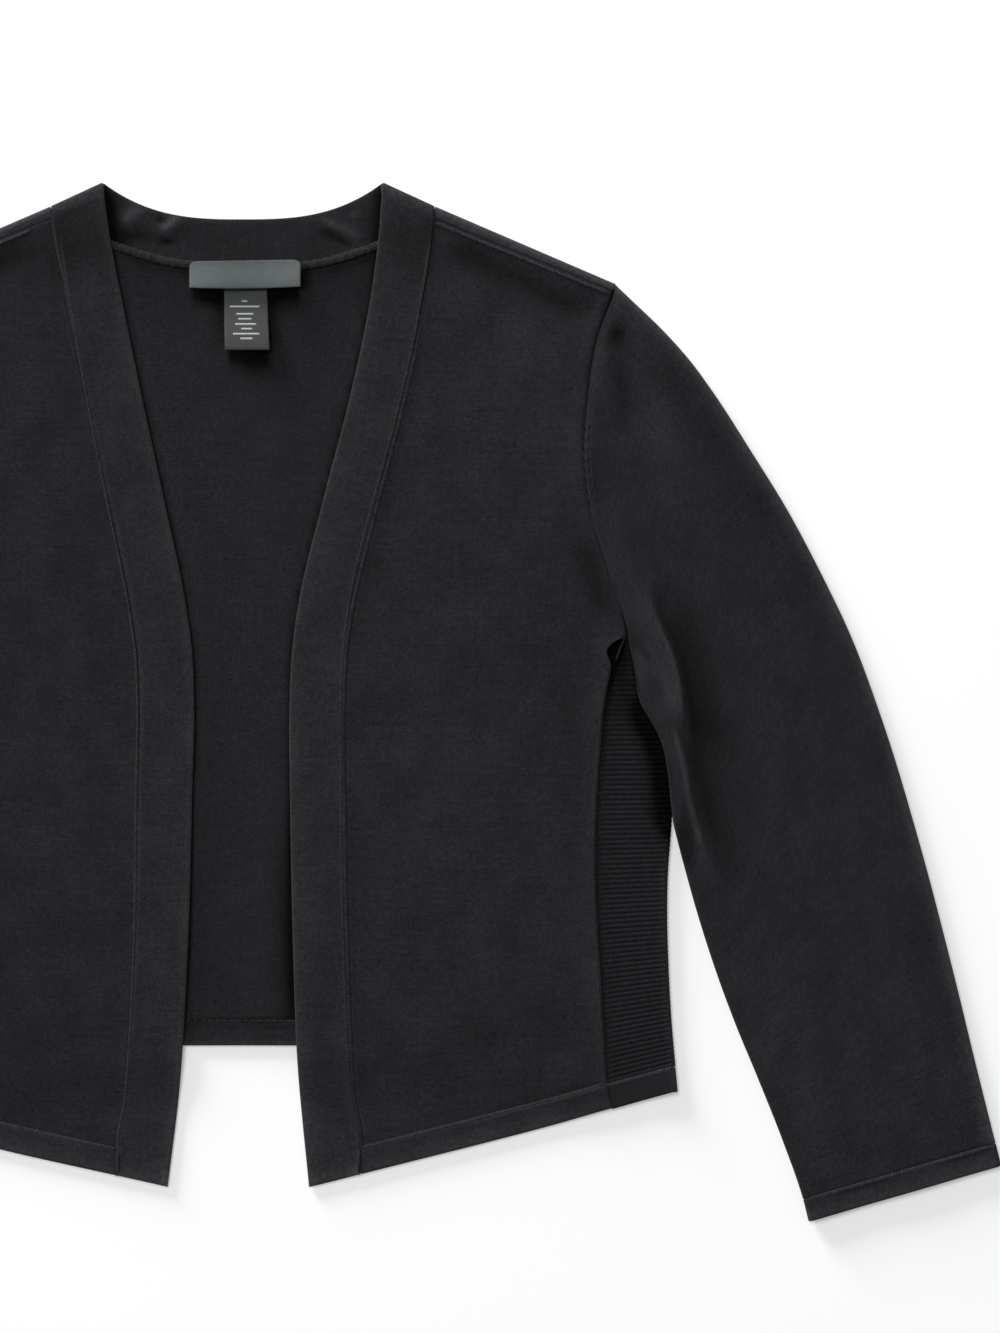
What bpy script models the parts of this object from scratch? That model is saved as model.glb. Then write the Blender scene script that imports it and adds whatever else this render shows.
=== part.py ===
"""Cropped open-front cardigan in fine black knit, laid flat on its back with its sleeves beside it.

Frame: +X is the right of the picture, +Y points to the neck and +Z up from the surface, z = 0.
The origin is under the middle of the garment's box. Right and left mean the picture's sides.

Sizes are millimetres. Outlines are given as `across`, the distance from the centre-back line,
and `down`, the distance below the two neck points. The garment lies in two layers: the back
layer on the surface, and the front layer above it at the height that `front_lift` gives.
Each knit piece is a wall between a skin, its outer face, and a lining, its inner face.
"""

from collections import namedtuple

import bmesh
import bpy
import numpy as np

MM = 0.001
NECK_POINT_Y = 275.0  # y of the neck points, which puts the box's middle on the origin
SIDES = {"r": 1.0, "l": -1.0}

# Cloth
KNIT = 1.4  # one layer of fine knit
DOUBLE = 2.4  # bands and hems, which are knit double
SEAM_GAP = 0.3  # between two pieces that are linked to each other
EDGE_IN = 0.05  # the body panels' outer edges lie this far inside their outline
WOVEN = 1.0  # label

# Heights
FRONT_LIFT = 3.0  # underside of the front layer
# The front panel's side edge stands proud of the rib: by how much, over what width, and between
# which downs it rises and ends.
SIDE_STEP, SIDE_STEP_WIDTH, SIDE_STEP_DOWNS = 0.8, 16.0, (205, 245, 440, 470)
SHOULDER_HEIGHT = FRONT_LIFT + KNIT
BAND_HEIGHT = FRONT_LIFT + DOUBLE
DROP_START, DROP_RUN = 2.0, 34.0  # past the back hem the fronts come down to the surface

# Driving widths
BAND_WIDTH, BAND_CORNER = 28.0, 26.3  # square to its edge, and straight across at the hem
HEM = 13.4  # measured straight down
HEM_SEAM_ACROSS, HEM_FOLD_ACROSS = 193.6, 230.0  # side seam and side fold at the hem
RIB_RELIEF, RIBS = 0.6, 90
TIP_DOWN = 243.4  # upper tip of each side panel, just under the underarm point

Edge = namedtuple("Edge", "down across")
Band = namedtuple("Band", "down right left")
Hem = namedtuple("Hem", "across right left back")
Neck = namedtuple("Neck", "top_across seam_across seam_down")
Swell = namedtuple("Swell", "across down half_width half_length height sides")
Stop = namedtuple("Stop", "share from_inner")

# Free inner edge of the front band, from the neck point to the hem corner. Its cross lines turn
# to the shoulder line above the first of these downs, and to the hem's line between the others.
BAND_TURNS = (60.0, 485.0, 532.0)
BAND_INNER = [
    Band(0, 74.2, 74.2),
    Band(35, 70.5, 69.7),
    Band(62, 66.8, 64.4),
    Band(115, 55.7, 53.5),
    Band(168, 41.9, 42.1),
    Band(221, 29.2, 31.0),
    Band(248, 25.4, 27.3),
    Band(274, 24.1, 26.2),
    Band(327, 24.4, 27.3),
    Band(406, 26.0, 29.4),
    Band(475, 29.2, 33.4),
    Band(532, 35.0, 39.8),
]
# Lower edges of the two fronts and, as they continue round the side fold, of the back.
HEM_LINE = [
    Hem(0, 540.0, 540.0, 457.0),
    Hem(35, 532.1, 533.0, 457.1),
    Hem(61, 525.6, 527.2, 457.4),
    Hem(88, 518.8, 521.3, 458.6),
    Hem(130, 508.2, 511.7, 462.4),
    Hem(165, 499.0, 502.0, 467.6),
    Hem(196, 490.0, 491.2, 473.4),
    Hem(231, 481.3, 481.3, 481.3),
]
# Back neck: where each cross line of the neckband starts on its top edge and ends on its seam.
NECK = [
    Neck(0, 0, 43.5),
    Neck(12, 13, 43.3),
    Neck(24, 26, 42.8),
    Neck(36, 39, 41.4),
    Neck(47, 52, 38.2),
    Neck(56, 65, 33.9),
    Neck(63, 76, 29.6),
    Neck(68, 86, 24.2),
    Neck(71.2, 94.5, 18.6),
]
NECK_DEPTH, NECK_POWER = 19.4, 2.9  # dip of the neckband's top edge and how square it is
NECK_POINT = np.array([74.2, 0.0])
SHOULDER_NECK = np.array([101.8, 12.7])  # shoulder line at the band
SHOULDER_TIP = np.array([197.4, 53.8])
SHOULDER_WRAP = (5.1, 3.1)  # the back comes over to the front this far, at neck and at tip

ARMHOLE = [
    Edge(54, 197.4),
    Edge(60, 195.8),
    Edge(69, 192.1),
    Edge(82, 187.3),
    Edge(102, 183.4),
    Edge(118, 181.8),
    Edge(137, 180.6),
    Edge(150, 180.8),
    Edge(163, 182.4),
    Edge(179, 185.7),
    Edge(207, 194.4),
    Edge(241, 204.2),
]
SIDE_SEAM = [
    Edge(241, 202.4),
    Edge(252, 197.0),
    Edge(265, 193.5),
    Edge(278, 191.3),
    Edge(296, 189.8),
    Edge(331, 187.4),
    Edge(354, 186.8),
    Edge(373, 187.0),
    Edge(412, 189.2),
    Edge(451, 191.3),
    Edge(478, 193.3),
    Edge(491, 195.6),
]
# Outer edge of the body, where the side panel folds from front to back.
SIDE_FOLD = [
    Edge(241, 204.2),
    Edge(258, 207.3),
    Edge(275, 210.8),
    Edge(290, 221.0),
    Edge(300, 225.4),
    Edge(316, 227.3),
    Edge(332, 227.4),
    Edge(348, 226.3),
    Edge(364, 225.1),
    Edge(390, 224.6),
    Edge(412, 225.2),
    Edge(444, 226.9),
    Edge(475, 229.7),
    Edge(482, 230.4),
]
SLEEVE_OUTER = [
    Edge(54, 197.7),
    Edge(58, 201.8),
    Edge(62, 206.0),
    Edge(78, 222.6),
    Edge(94, 236.9),
    Edge(110, 248.6),
    Edge(142, 269.2),
    Edge(173, 288.3),
    Edge(205, 305.3),
    Edge(237, 320.7),
    Edge(285, 338.7),
    Edge(348, 357.8),
    Edge(412, 374.7),
    Edge(475, 390.1),
    Edge(521, 401.7),
]
SLEEVE_INNER = [
    Edge(241, 204.6),
    Edge(258, 207.9),
    Edge(277, 211.5),
    Edge(284, 215.5),
    Edge(291, 219.6),
    Edge(299, 222.6),
    Edge(313, 225.1),
    Edge(331, 226.9),
    Edge(340, 228.0),
    Edge(348, 230.0),
    Edge(364, 234.3),
    Edge(380, 238.7),
    Edge(412, 248.6),
    Edge(444, 260.2),
    Edge(475, 273.0),
    Edge(507, 285.7),
    Edge(539, 296.8),
    Edge(550.3, 299.6),
]
CUFF_SEAM_OUTER, CUFF_SEAM_INNER = 508.6, 538.2  # downs of the cuff seam's two ends
CUFF_OUTER, CUFF_INNER = 520.5, 550.2

# Soft swells of the front layer, added to its height. The tuck is where the sleeve lies on it.
SWELLS = [
    Swell(115, 240, 62, 130, 0.9, ("r", "l")),
    Swell(36, 428, 18, 46, 1.9, ("r",)),
    Swell(42, 360, 18, 120, 1.2, ("l",)),
    Swell(215, 292, 20, 42, -1.1, ("r", "l")),
]
# The sleeve's hollow between its two layers, along its length.
SLEEVE_GAP = [Edge(0.0, 1.6), Edge(0.3, 2.2), Edge(0.65, 2.2), Edge(1.0, 2.0)]
SLEEVE_OVER_RIB = 1.6  # the sleeve's underside over the rib
SLEEVE_RUN = 15.0  # it comes down to the surface over this run past the side fold
SLEEVE_OVER_DOWNS = (248, 274, 340, 374)  # it rises, is up, starts to come down, and is down
# Fold that runs down the sleeve from the underarm, just inside its inner edge.
UNDERARM_RIDGE, UNDERARM_VALLEY = (2.1, 11.0, 5.0), (-0.7, 25.0, 9.0)  # height, place, width
RIDGE_END = 0.42  # share of the sleeve's length
ARMHOLE_FADE = 3.0  # power by which the sleeve's sections lose the armhole's curve

# Rows along the band, rows down each panel's side, and columns across the fronts.
BAND_ROWS = [8.0, 18.0, 32.0, *np.linspace(50, BAND_TURNS[-1], 26)]
SIDE_ROWS = [241, 243, 248, 256, 265, 275, 286, 299, 316, 340, 370, 400, 430, 460]
FRONT_COLUMNS = 11
BAND_REACHES = (0.0, 0.25, 0.5, 0.75, 1.0)  # shares of the band's width
SLEEVE_RINGS, CUFF_RINGS = 18, 3
# Section of a sleeve, from its outer to its inner edge: shares of the width, then distances.
TOP_STOPS = [
    Stop(0.12, 0),
    Stop(0.32, 0),
    Stop(0.55, 0),
    Stop(0.78, 0),
    Stop(1, 34),
    Stop(1, 25),
    Stop(1, 17),
    Stop(1, 11),
    Stop(1, 6),
]
BOTTOM_STOPS = [Stop(1, 8), Stop(1, 17), Stop(1, 34), Stop(0.5, 0)]
FOLD_ANGLES = np.radians([90, 45, 0, -45, -90])

LABEL_CENTRE, LABEL_TOP, LABEL_WIDTH, LABEL_HEIGHT = 1.3, 41.4, 58.8, 14.8
LABEL_LIFT, LABEL_STAND_OFF = 2.7, 1.4  # at its sewn top edge, and how much more at its lower one
TAG_TOP, TAG_BOTTOM, TAG_DOWN, TAG_END = (-10.2, 12.2), (-9.2, 14.6), 45.2, 88.2
TAG_STAND_OFF = 2.2

COLOURS = {
    "knit": ((0.019, 0.019, 0.021, 1), 0.85),
    "rib": ((0.015, 0.015, 0.017, 1), 0.9),
    "label": ((0.14, 0.155, 0.155, 1), 0.5),
    "tag": ((0.07, 0.075, 0.08, 1), 0.6),
}


def smooth(rows, at):
    """Value at `at` of the smooth curve through (position, value) rows; works on arrays."""
    places = np.array([r[0] for r in rows], float)
    values = np.array([r[1] for r in rows], float)
    slopes = np.gradient(values, places)
    at = np.clip(at, places[0], places[-1])
    i = np.clip(np.searchsorted(places, at, side="right") - 1, 0, len(places) - 2)
    run = places[i + 1] - places[i]
    t = (at - places[i]) / run
    start, end = (2 * t + 1) * (1 - t) ** 2, t * t * (3 - 2 * t)
    lead, trail = t * (1 - t) ** 2, t * t * (t - 1)
    return (
        start * values[i] + end * values[i + 1] + run * (lead * slopes[i] + trail * slopes[i + 1])
    )


def ease(t):
    """0 below 0, 1 above 1, and smooth between."""
    t = np.clip(t, 0, 1)
    return t * t * (3 - 2 * t)


def hem_down(side, across):
    """Lower edge of a front ("r" or "l") or of the back ("back") at that distance across."""
    column = {"r": 1, "l": 2, "back": 3}[side]
    return smooth([(row.across, row[column]) for row in HEM_LINE], across)


def front_lift(side, across, down):
    """Height of the underside of the front layer."""
    height = FRONT_LIFT
    for s in SWELLS:
        if side in s.sides:
            x, y = (across - s.across) / s.half_width, (down - s.down) / s.half_length
            height = height + s.height * np.exp(-x * x - y * y)
    past_hem = (down - hem_down("back", across) - DROP_START) / DROP_RUN
    return height * (1 - ease(past_hem))


def band_cross(side, down):
    """The band's inner edge point at `down`, and the unit cross line and width from it."""
    rows = [(row.down, row.right if side == "r" else row.left) for row in BAND_INNER]
    across = smooth(rows, down)
    slope = smooth(rows, down + 0.5) - smooth(rows, down - 0.5)
    inner = np.array([across, down])
    square = np.array([1.0, -slope]) / np.hypot(1, slope)
    fold = SHOULDER_NECK - NECK_POINT
    corner_across = across + BAND_CORNER
    corner = np.array([corner_across, hem_down(side, corner_across)]) - inner
    line, width = square, BAND_WIDTH
    shoulder_end, corner_start, corner_end = BAND_TURNS
    to_fold = ease((shoulder_end - down) / shoulder_end)
    to_corner = ease((down - corner_start) / (corner_end - corner_start))
    for end, share in ((fold, to_fold), (corner, to_corner)):
        long = np.hypot(*end)
        line = line * (1 - share) + end / long * share
        width = width * (1 - share) + long * share
    return inner, line / np.hypot(*line), width


def band_point(side, down, reach):
    """Point of the front band: `reach` is 0 on its inner edge and 1 on its seam."""
    inner, line, width = band_cross(side, down)
    return inner + line * width * reach


def band_seam(side, down):
    """Distance across of the seam between band and front panel."""
    points = np.array([band_point(side, d, 1) for d in BAND_ROWS])
    return np.interp(down, points[:, 1], points[:, 0])


def neck_edge_down(across):
    """Top edge of the neckband."""
    return NECK_DEPTH * (1 - (np.abs(across) / NECK_POINT[0]) ** NECK_POWER)


def neck_seam_down(across):
    """Seam between the neckband and the back panel."""
    rows = [(n.seam_across, n.seam_down) for n in NECK] + [tuple(SHOULDER_NECK)]
    return smooth(rows, np.abs(across))


def shoulder_down(across):
    """The shoulder line, which is the garment's outline."""
    share = (across - SHOULDER_NECK[0]) / (SHOULDER_TIP[0] - SHOULDER_NECK[0])
    return SHOULDER_NECK[1] + (SHOULDER_TIP[1] - SHOULDER_NECK[1]) * share


def outward(start, end):
    """Unit vector square to the line, pointing up and away from the garment."""
    line = (end - start) / np.hypot(*(end - start))
    return np.array([line[1], -line[0]])


def shoulder_wrap(across):
    """How far the back panel comes over the shoulder line to the front."""
    share = (across - SHOULDER_NECK[0]) / (SHOULDER_TIP[0] - SHOULDER_NECK[0])
    return SHOULDER_WRAP[0] + (SHOULDER_WRAP[1] - SHOULDER_WRAP[0]) * share


def body_edge(down):
    """Outer edge of a front or back panel: the armhole, then the side seam."""
    return smooth(ARMHOLE, down) if down <= SIDE_ROWS[0] else smooth(SIDE_SEAM, down)


def place(side, plan, height):
    """(across, down) and a height as a point of the frame, in millimetres."""
    return (SIDES[side] * plan[0], NECK_POINT_Y - plan[1], height)


def material(name):
    """The finish of that name."""
    found = bpy.data.materials.get(name)
    if found:
        return found
    made = bpy.data.materials.new(name)
    made.use_nodes = True
    shader = made.node_tree.nodes["Principled BSDF"]
    colour, roughness = COLOURS[name]
    shader.inputs["Base Color"].default_value = colour
    shader.inputs["Roughness"].default_value = roughness
    shader.inputs["Metallic"].default_value = 0.0
    return made


def finish_object(bm, name, finish):
    """Turns the closed mesh into an object of that name."""
    bmesh.ops.recalc_face_normals(bm, faces=bm.faces)
    mesh = bpy.data.meshes.new(name)
    bm.to_mesh(mesh)
    bm.free()
    mesh.materials.append(material(finish))
    mesh.shade_smooth()
    mesh.set_sharp_from_angle(angle=np.radians(50))
    made = bpy.data.objects.new(name, mesh)
    bpy.context.scene.collection.objects.link(made)
    return made


def cloth_wall(name, skin, lining, finish="knit", keep=None, tube=False):
    """A wall of cloth between two grids of points, [row][column], closed round its edges.

    `keep` says which cells of the grid are cloth. A tube joins its last column to its first.
    """
    rows, columns = len(skin), len(skin[0])
    cell_columns = columns if tube else columns - 1
    cells = {
        (r, c)
        for r in range(rows - 1)
        for c in range(cell_columns)
        if keep is None or keep(r, c)
    }
    bm = bmesh.new()
    made = {}

    def corner(face, r, c):
        key = (face, r, c % columns)
        if key not in made:
            grid = skin if face else lining
            made[key] = bm.verts.new(np.array(grid[r][c % columns]) * MM)
        return made[key]

    def beside(r, c):
        return (r, c % columns) if tube else (r, c)

    for r, c in sorted(cells):
        around = [(r, c), (r, c + 1), (r + 1, c + 1), (r + 1, c)]
        for face in (True, False):
            bm.faces.new([corner(face, *at) for at in around])
        neighbours = [(r - 1, c), (r, c + 1), (r + 1, c), (r, c - 1)]
        for i, neighbour in enumerate(neighbours):
            if beside(*neighbour) not in cells:
                a, b = around[i], around[(i + 1) % 4]
                bm.faces.new([corner(True, *a), corner(True, *b), corner(False, *b), corner(False, *a)])
    return finish_object(bm, name, finish)


def flat_wall(name, side, plan, lift, thickness, finish="knit"):
    """A wall of even thickness on a grid of (across, down) points, above the height `lift`."""
    lining = [[place(side, p, lift(p)) for p in row] for row in plan]
    skin = [[place(side, p, lift(p) + thickness) for p in row] for row in plan]
    return cloth_wall(name, skin, lining, finish)


def row_between(start, end, count):
    """Points on the line from start to end."""
    return [start + (end - start) * share for share in np.linspace(0, 1, count)]


def hem_row(side, share, columns):
    """Plan points along a front hem: `share` is 0 on its seam and 1 on its lower edge."""

    def down(across):
        return hem_down(side, across) - HEM * (1 - share)

    start = band_seam(side, down(BAND_INNER[-1].right + BAND_CORNER)) + SEAM_GAP
    end = smooth(SIDE_SEAM, down(HEM_SEAM_ACROSS)) - SEAM_GAP / 2
    return [np.array([across, down(across)]) for across in np.linspace(start, end, columns)]


def build_front(side):
    """Front panel, from the shoulder seam to the hem seam."""

    def seam_end(across):
        point = np.array([across, shoulder_down(across)])
        away = outward(SHOULDER_NECK, SHOULDER_TIP)
        return point - away * (shoulder_wrap(across) + SEAM_GAP)

    ends = (seam_end(SHOULDER_NECK[0] + 2.0), seam_end(SHOULDER_TIP[0] - 0.2))
    top = row_between(*ends, FRONT_COLUMNS)
    bottom = [p - np.array([0, SEAM_GAP]) for p in hem_row(side, 0.0, FRONT_COLUMNS)]
    starts = [band_point(side, down, 1) for down in BAND_ROWS]
    starts = [p for p in starts if top[0][1] + 4 < p[1] < bottom[0][1] - 6]
    on_armhole = len(starts) - len(SIDE_ROWS) + 1
    ends = [*np.linspace(top[-1][1], SIDE_ROWS[0], on_armhole + 1)[1:], *SIDE_ROWS[1:]]
    plan = [top]
    for start, down in zip(starts, ends):
        share = (start[1] - top[0][1]) / (bottom[0][1] - top[0][1])
        line = np.array([p[1] for p in bottom])
        bend = line - np.linspace(line[0], line[-1], FRONT_COLUMNS)
        end = np.array([body_edge(down) - EDGE_IN, down])
        row = row_between(start + np.array([SEAM_GAP, 0]), end, FRONT_COLUMNS)
        plan.append([p + np.array([0, b * share**5]) for p, b in zip(row, bend)])
    plan.append(bottom)

    def lift(point):
        across, down = point
        start, full, fading, end = SIDE_STEP_DOWNS
        on_side = ease((down - start) / (full - start)) * ease((end - down) / (end - fading))
        near_seam = ease(1 - (smooth(SIDE_SEAM, down) - across) / SIDE_STEP_WIDTH)
        return front_lift(side, across, down) + SIDE_STEP * on_side * near_seam

    return flat_wall(f"front_panel_{side}", side, plan, lift, KNIT)


def build_front_hem(side):
    """Double hem along the bottom of a front panel."""
    plan = [hem_row(side, share, FRONT_COLUMNS) for share in (0.0, 0.5, 1.0)]
    return flat_wall(f"hem_front_{side}", side, plan, lambda p: front_lift(side, *p), DOUBLE)


def fold_section(side, front, fold, back, height, thickness):
    """Skin and lining across a piece that folds from the front layer to the surface.

    `front` and `back` are rows of (plan point, lift), from the fold outwards on the back.
    """
    radius = height / 2
    toward = np.array([1.0, 0.0])
    centre = fold - toward * radius
    skin = [place(side, p, lift + thickness) for p, lift in front]
    lining = [place(side, p, lift) for p, lift in front]
    for angle in FOLD_ANGLES:
        for row, reach in ((skin, radius), (lining, radius - thickness)):
            plan = centre + toward * reach * np.cos(angle)
            row.append(place(side, plan, radius + reach * np.sin(angle)))
    skin += [place(side, p, 0) for p in back]
    lining += [place(side, p, thickness) for p in back]
    return skin, lining


def build_shoulder_fold(across, side):
    """Rows of the back panel that come over the shoulder, from the seam to the surface."""
    away = outward(SHOULDER_NECK, SHOULDER_TIP)
    radius = SHOULDER_HEIGHT / 2
    point = np.array([across, shoulder_down(across)])
    centre = point - away * radius
    end = point - away * shoulder_wrap(across)
    skin = [place(side, end, SHOULDER_HEIGHT)]
    lining = [place(side, end, SHOULDER_HEIGHT - KNIT)]
    for angle in FOLD_ANGLES:
        for row, reach in ((skin, radius), (lining, radius - KNIT)):
            plan = centre + away * reach * np.cos(angle)
            row.append(place(side, plan, radius + reach * np.sin(angle)))
    return skin, lining, centre


def build_back():
    """Back panel on the surface, with its shoulder edges folded over to the front."""
    hem_side = hem_down("back", 191) - HEM - SEAM_GAP
    downs = [*np.linspace(56.0, SIDE_ROWS[0], 11), *SIDE_ROWS[1:-1], hem_side]
    shoulder = np.linspace(SHOULDER_NECK[0] + 1.6, SHOULDER_TIP[0] - 0.4, 7)
    neck = [n.seam_across for n in NECK]
    skin_columns, lining_columns, folded = [], [], []
    for side, edges in (("l", [*shoulder[::-1], *neck[::-1]]), ("r", [*neck[1:], *shoulder])):
        for edge in edges:
            on_shoulder = edge > neck[-1] + 1
            if on_shoulder:
                skin, lining, top = build_shoulder_fold(edge, side)
            else:
                top = np.array([edge, neck_seam_down(edge) + SEAM_GAP])
                skin, lining = [], []
                for _ in range(len(FOLD_ANGLES) + 1):
                    skin.append(place(side, top, 0))
                    lining.append(place(side, top, KNIT))
            share_across = edge / shoulder[-1]
            for down in downs[1:]:
                share = (down - downs[0]) / (downs[-1] - downs[0])
                across = share_across * (body_edge(down) - EDGE_IN)
                bottom = hem_down("back", across) - HEM - SEAM_GAP
                point = np.array([across, top[1] + (bottom - top[1]) * share])
                if share_across == 1:
                    point[1] = down
                skin.append(place(side, point, 0))
                lining.append(place(side, point, KNIT))
            skin_columns.append(skin)
            lining_columns.append(lining)
            folded.append(on_shoulder)
    skin = list(zip(*skin_columns))
    lining = list(zip(*lining_columns))

    def keep(row, column):
        return row >= len(FOLD_ANGLES) or (folded[column] and folded[column + 1])

    return cloth_wall("back_panel", skin, lining, keep=keep)


def build_back_hem():
    """Double hem along the bottom of the back panel."""
    plan = []
    edge = smooth(SIDE_SEAM, 466.0) - SEAM_GAP / 2
    for share in (0.0, 0.5, 1.0):
        row = []
        for across in np.linspace(-edge, edge, 17):
            row.append(np.array([across, hem_down("back", abs(across)) - HEM * (1 - share)]))
        plan.append(row)
    return flat_wall("hem_back", "r", plan, lambda point: 0.0, DOUBLE)


def side_row(side, share):
    """Plan points of one level of a side panel: front seam, side fold and back seam."""
    front_end = hem_down(side, HEM_SEAM_ACROSS) - HEM - SEAM_GAP
    fold_end = hem_down(side, HEM_FOLD_ACROSS) - HEM - SEAM_GAP
    back_end = hem_down("back", HEM_SEAM_ACROSS) - HEM - SEAM_GAP
    level = TIP_DOWN + (front_end - TIP_DOWN) * share
    fold_level = level - (front_end - fold_end) * share**3
    back_level = level - (front_end - back_end) * share**3
    front = np.array([smooth(SIDE_SEAM, level) + SEAM_GAP, level])
    fold = np.array([smooth(SIDE_FOLD, fold_level), fold_level])
    back = np.array([smooth(SIDE_SEAM, back_level) + SEAM_GAP, back_level])
    return front, fold, back


def side_section(side, share, relief):
    """Skin and lining across a side panel at that share of its length."""
    front_edge, fold, back_edge = side_row(side, share)
    height = front_lift(side, *fold) + KNIT
    toward = fold - front_edge
    width = np.hypot(*toward)
    reach = 1 - min(0.9, height / 2 / width)
    front = []
    for across_share in (0.0, 0.5):
        plan = front_edge + toward * across_share * reach
        front.append((plan, front_lift(side, *plan)))
    back = [back_edge + (fold - back_edge) * 0.45 * reach, back_edge]
    skin, lining = fold_section(side, front, fold, back, height, KNIT)
    skin = [(x, y, z + relief * (i < 3)) for i, (x, y, z) in enumerate(skin)]
    return skin, lining


def join_columns(bm, left, right):
    """Faces between two columns of points, which may have different numbers of them."""
    i = j = 0
    while i < len(left) - 1 or j < len(right) - 1:
        left_next = (i + 1) / (len(left) - 1)
        right_next = (j + 1) / (len(right) - 1)
        if abs(left_next - right_next) < 1e-9:
            bm.faces.new([left[i], left[i + 1], right[j + 1], right[j]])
            i, j = i + 1, j + 1
        elif left_next < right_next:
            bm.faces.new([left[i], left[i + 1], right[j]])
            i += 1
        else:
            bm.faces.new([left[i], right[j + 1], right[j]])
            j += 1


def build_side(side):
    """Ribbed side panel: level ribs on its front, folded round to a plain half on the surface."""
    plain_rows, ribbed_columns = 31, 3
    rib_shares = np.linspace(0, 1, 2 * RIBS + 1)
    plain_shares = np.linspace(0, 1, plain_rows)
    ribbed = [side_section(side, s, RIB_RELIEF * (i % 2)) for i, s in enumerate(rib_shares)]
    plain = [side_section(side, s, 0.0) for s in plain_shares]
    count = len(plain[0][0])
    bm = bmesh.new()

    def column(sections, face, c):
        return [bm.verts.new(np.array(section[face][c]) * MM) for section in sections]

    skin = [column(ribbed if c < ribbed_columns else plain, 0, c) for c in range(count)]
    lining = [column(plain, 1, c) for c in range(count)]
    around = skin + lining[::-1]
    for left, right in zip(around, around[1:] + around[:1]):
        join_columns(bm, left, right)
    for end in (0, -1):
        for c in range(count - 1):
            bm.faces.new([skin[c][end], skin[c + 1][end], lining[c + 1][end], lining[c][end]])
    return finish_object(bm, f"side_panel_{side}", "rib")


def build_side_hem(side):
    """Double hem of a side panel, folded round the side with it."""
    skins, linings = [], []
    for share in (0.0, 0.5, 1.0):
        up = HEM * (1 - share)
        front_down = hem_down(side, HEM_SEAM_ACROSS) - up
        fold_down = hem_down(side, HEM_FOLD_ACROSS) - up
        back_down = hem_down("back", HEM_SEAM_ACROSS) - up
        front_edge = np.array([smooth(SIDE_SEAM, front_down) + SEAM_GAP, front_down])
        fold = np.array([smooth(SIDE_FOLD, fold_down), fold_down])
        back_edge = np.array([smooth(SIDE_SEAM, back_down) + SEAM_GAP, back_down])
        toward = fold - front_edge
        front = []
        for reach in (0.0, 0.3, 0.6, 0.85):
            plan = front_edge + toward * reach
            front.append((plan, front_lift(side, *plan)))
        back = [back_edge + (fold - back_edge) * reach for reach in (0.6, 0.3, 0.0)]
        height = front_lift(side, *fold) + DOUBLE
        skin, lining = fold_section(side, front, fold, back, height, DOUBLE)
        skins.append(skin)
        linings.append(lining)
    return cloth_wall(f"hem_side_{side}", skins, linings)


def band_front_rows(side, reaches):
    """Skin and lining of the band on one front, from the neck down to the hem."""
    skins, linings = [], []
    for down in BAND_ROWS:
        plans = [band_point(side, down, reach) for reach in reaches]
        if down == BAND_TURNS[-1]:
            plans = [np.array([p[0], hem_down(side, p[0])]) for p in plans]
        lifts = [front_lift(side, *p) for p in plans]
        skins.append([place(side, p, lift + DOUBLE) for p, lift in zip(plans, lifts)])
        linings.append([place(side, p, lift) for p, lift in zip(plans, lifts)])
    return skins, linings


def shoulder_row(reaches, inward):
    """Plan points of the band's line across the shoulder, moved in from it by `inward`."""
    away = outward(NECK_POINT, SHOULDER_NECK)
    return [NECK_POINT + (SHOULDER_NECK - NECK_POINT) * r - away * inward for r in reaches]


def band_fold_rows(side, reaches):
    """The band where it turns over the shoulder line, from the front to the surface."""
    away = outward(NECK_POINT, SHOULDER_NECK)
    radius = BAND_HEIGHT / 2
    skins, linings = [], []
    for angle in FOLD_ANGLES:
        for rows, reach in ((skins, radius), (linings, radius - DOUBLE)):
            rows.append(
                [
                    place(side, plan + away * reach * np.cos(angle), radius + reach * np.sin(angle))
                    for plan in shoulder_row(reaches, radius)
                ]
            )
    return skins, linings


def build_front_band(side):
    """One front's double band, from the hem over the shoulder."""
    front_skin, front_lining = band_front_rows(side, BAND_REACHES)
    fold_skin, fold_lining = band_fold_rows(side, BAND_REACHES)
    skin, lining = front_skin[::-1] + fold_skin, front_lining[::-1] + fold_lining
    cloth_wall(f"front_band_{side}", skin, lining)


def build_neckband():
    """The band's stretch round the back neck, which lies on the surface."""
    half = [shoulder_row(BAND_REACHES, BAND_HEIGHT / 2 + SEAM_GAP)]
    for n in NECK[::-1]:
        top = np.array([n.top_across, neck_edge_down(n.top_across)])
        seam = np.array([n.seam_across, n.seam_down])
        half.append([top + (seam - top) * reach for reach in BAND_REACHES])
    rows = [("r", row) for row in half] + [("l", row) for row in half[-2::-1]]
    lining = [[place(side, p, DOUBLE) for p in row] for side, row in rows]
    skin = [[place(side, p, 0) for p in row] for side, row in rows]
    cloth_wall("neckband", skin, lining)


def sleeve_lift(side, point):
    """Height of the sleeve's underside: on the surface, or over the ribbed side panel."""
    across, down = point
    over = front_lift(side, across, down) + KNIT + RIB_RELIEF + SLEEVE_OVER_RIB
    past_fold = ease((smooth(SIDE_FOLD, down) + SLEEVE_RUN - across) / (SLEEVE_RUN - 1))
    start, full, fading, end = SLEEVE_OVER_DOWNS
    along = ease((down - start) / (full - start)) * ease((end - down) / (end - fading))
    return over * past_fold * along


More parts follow.
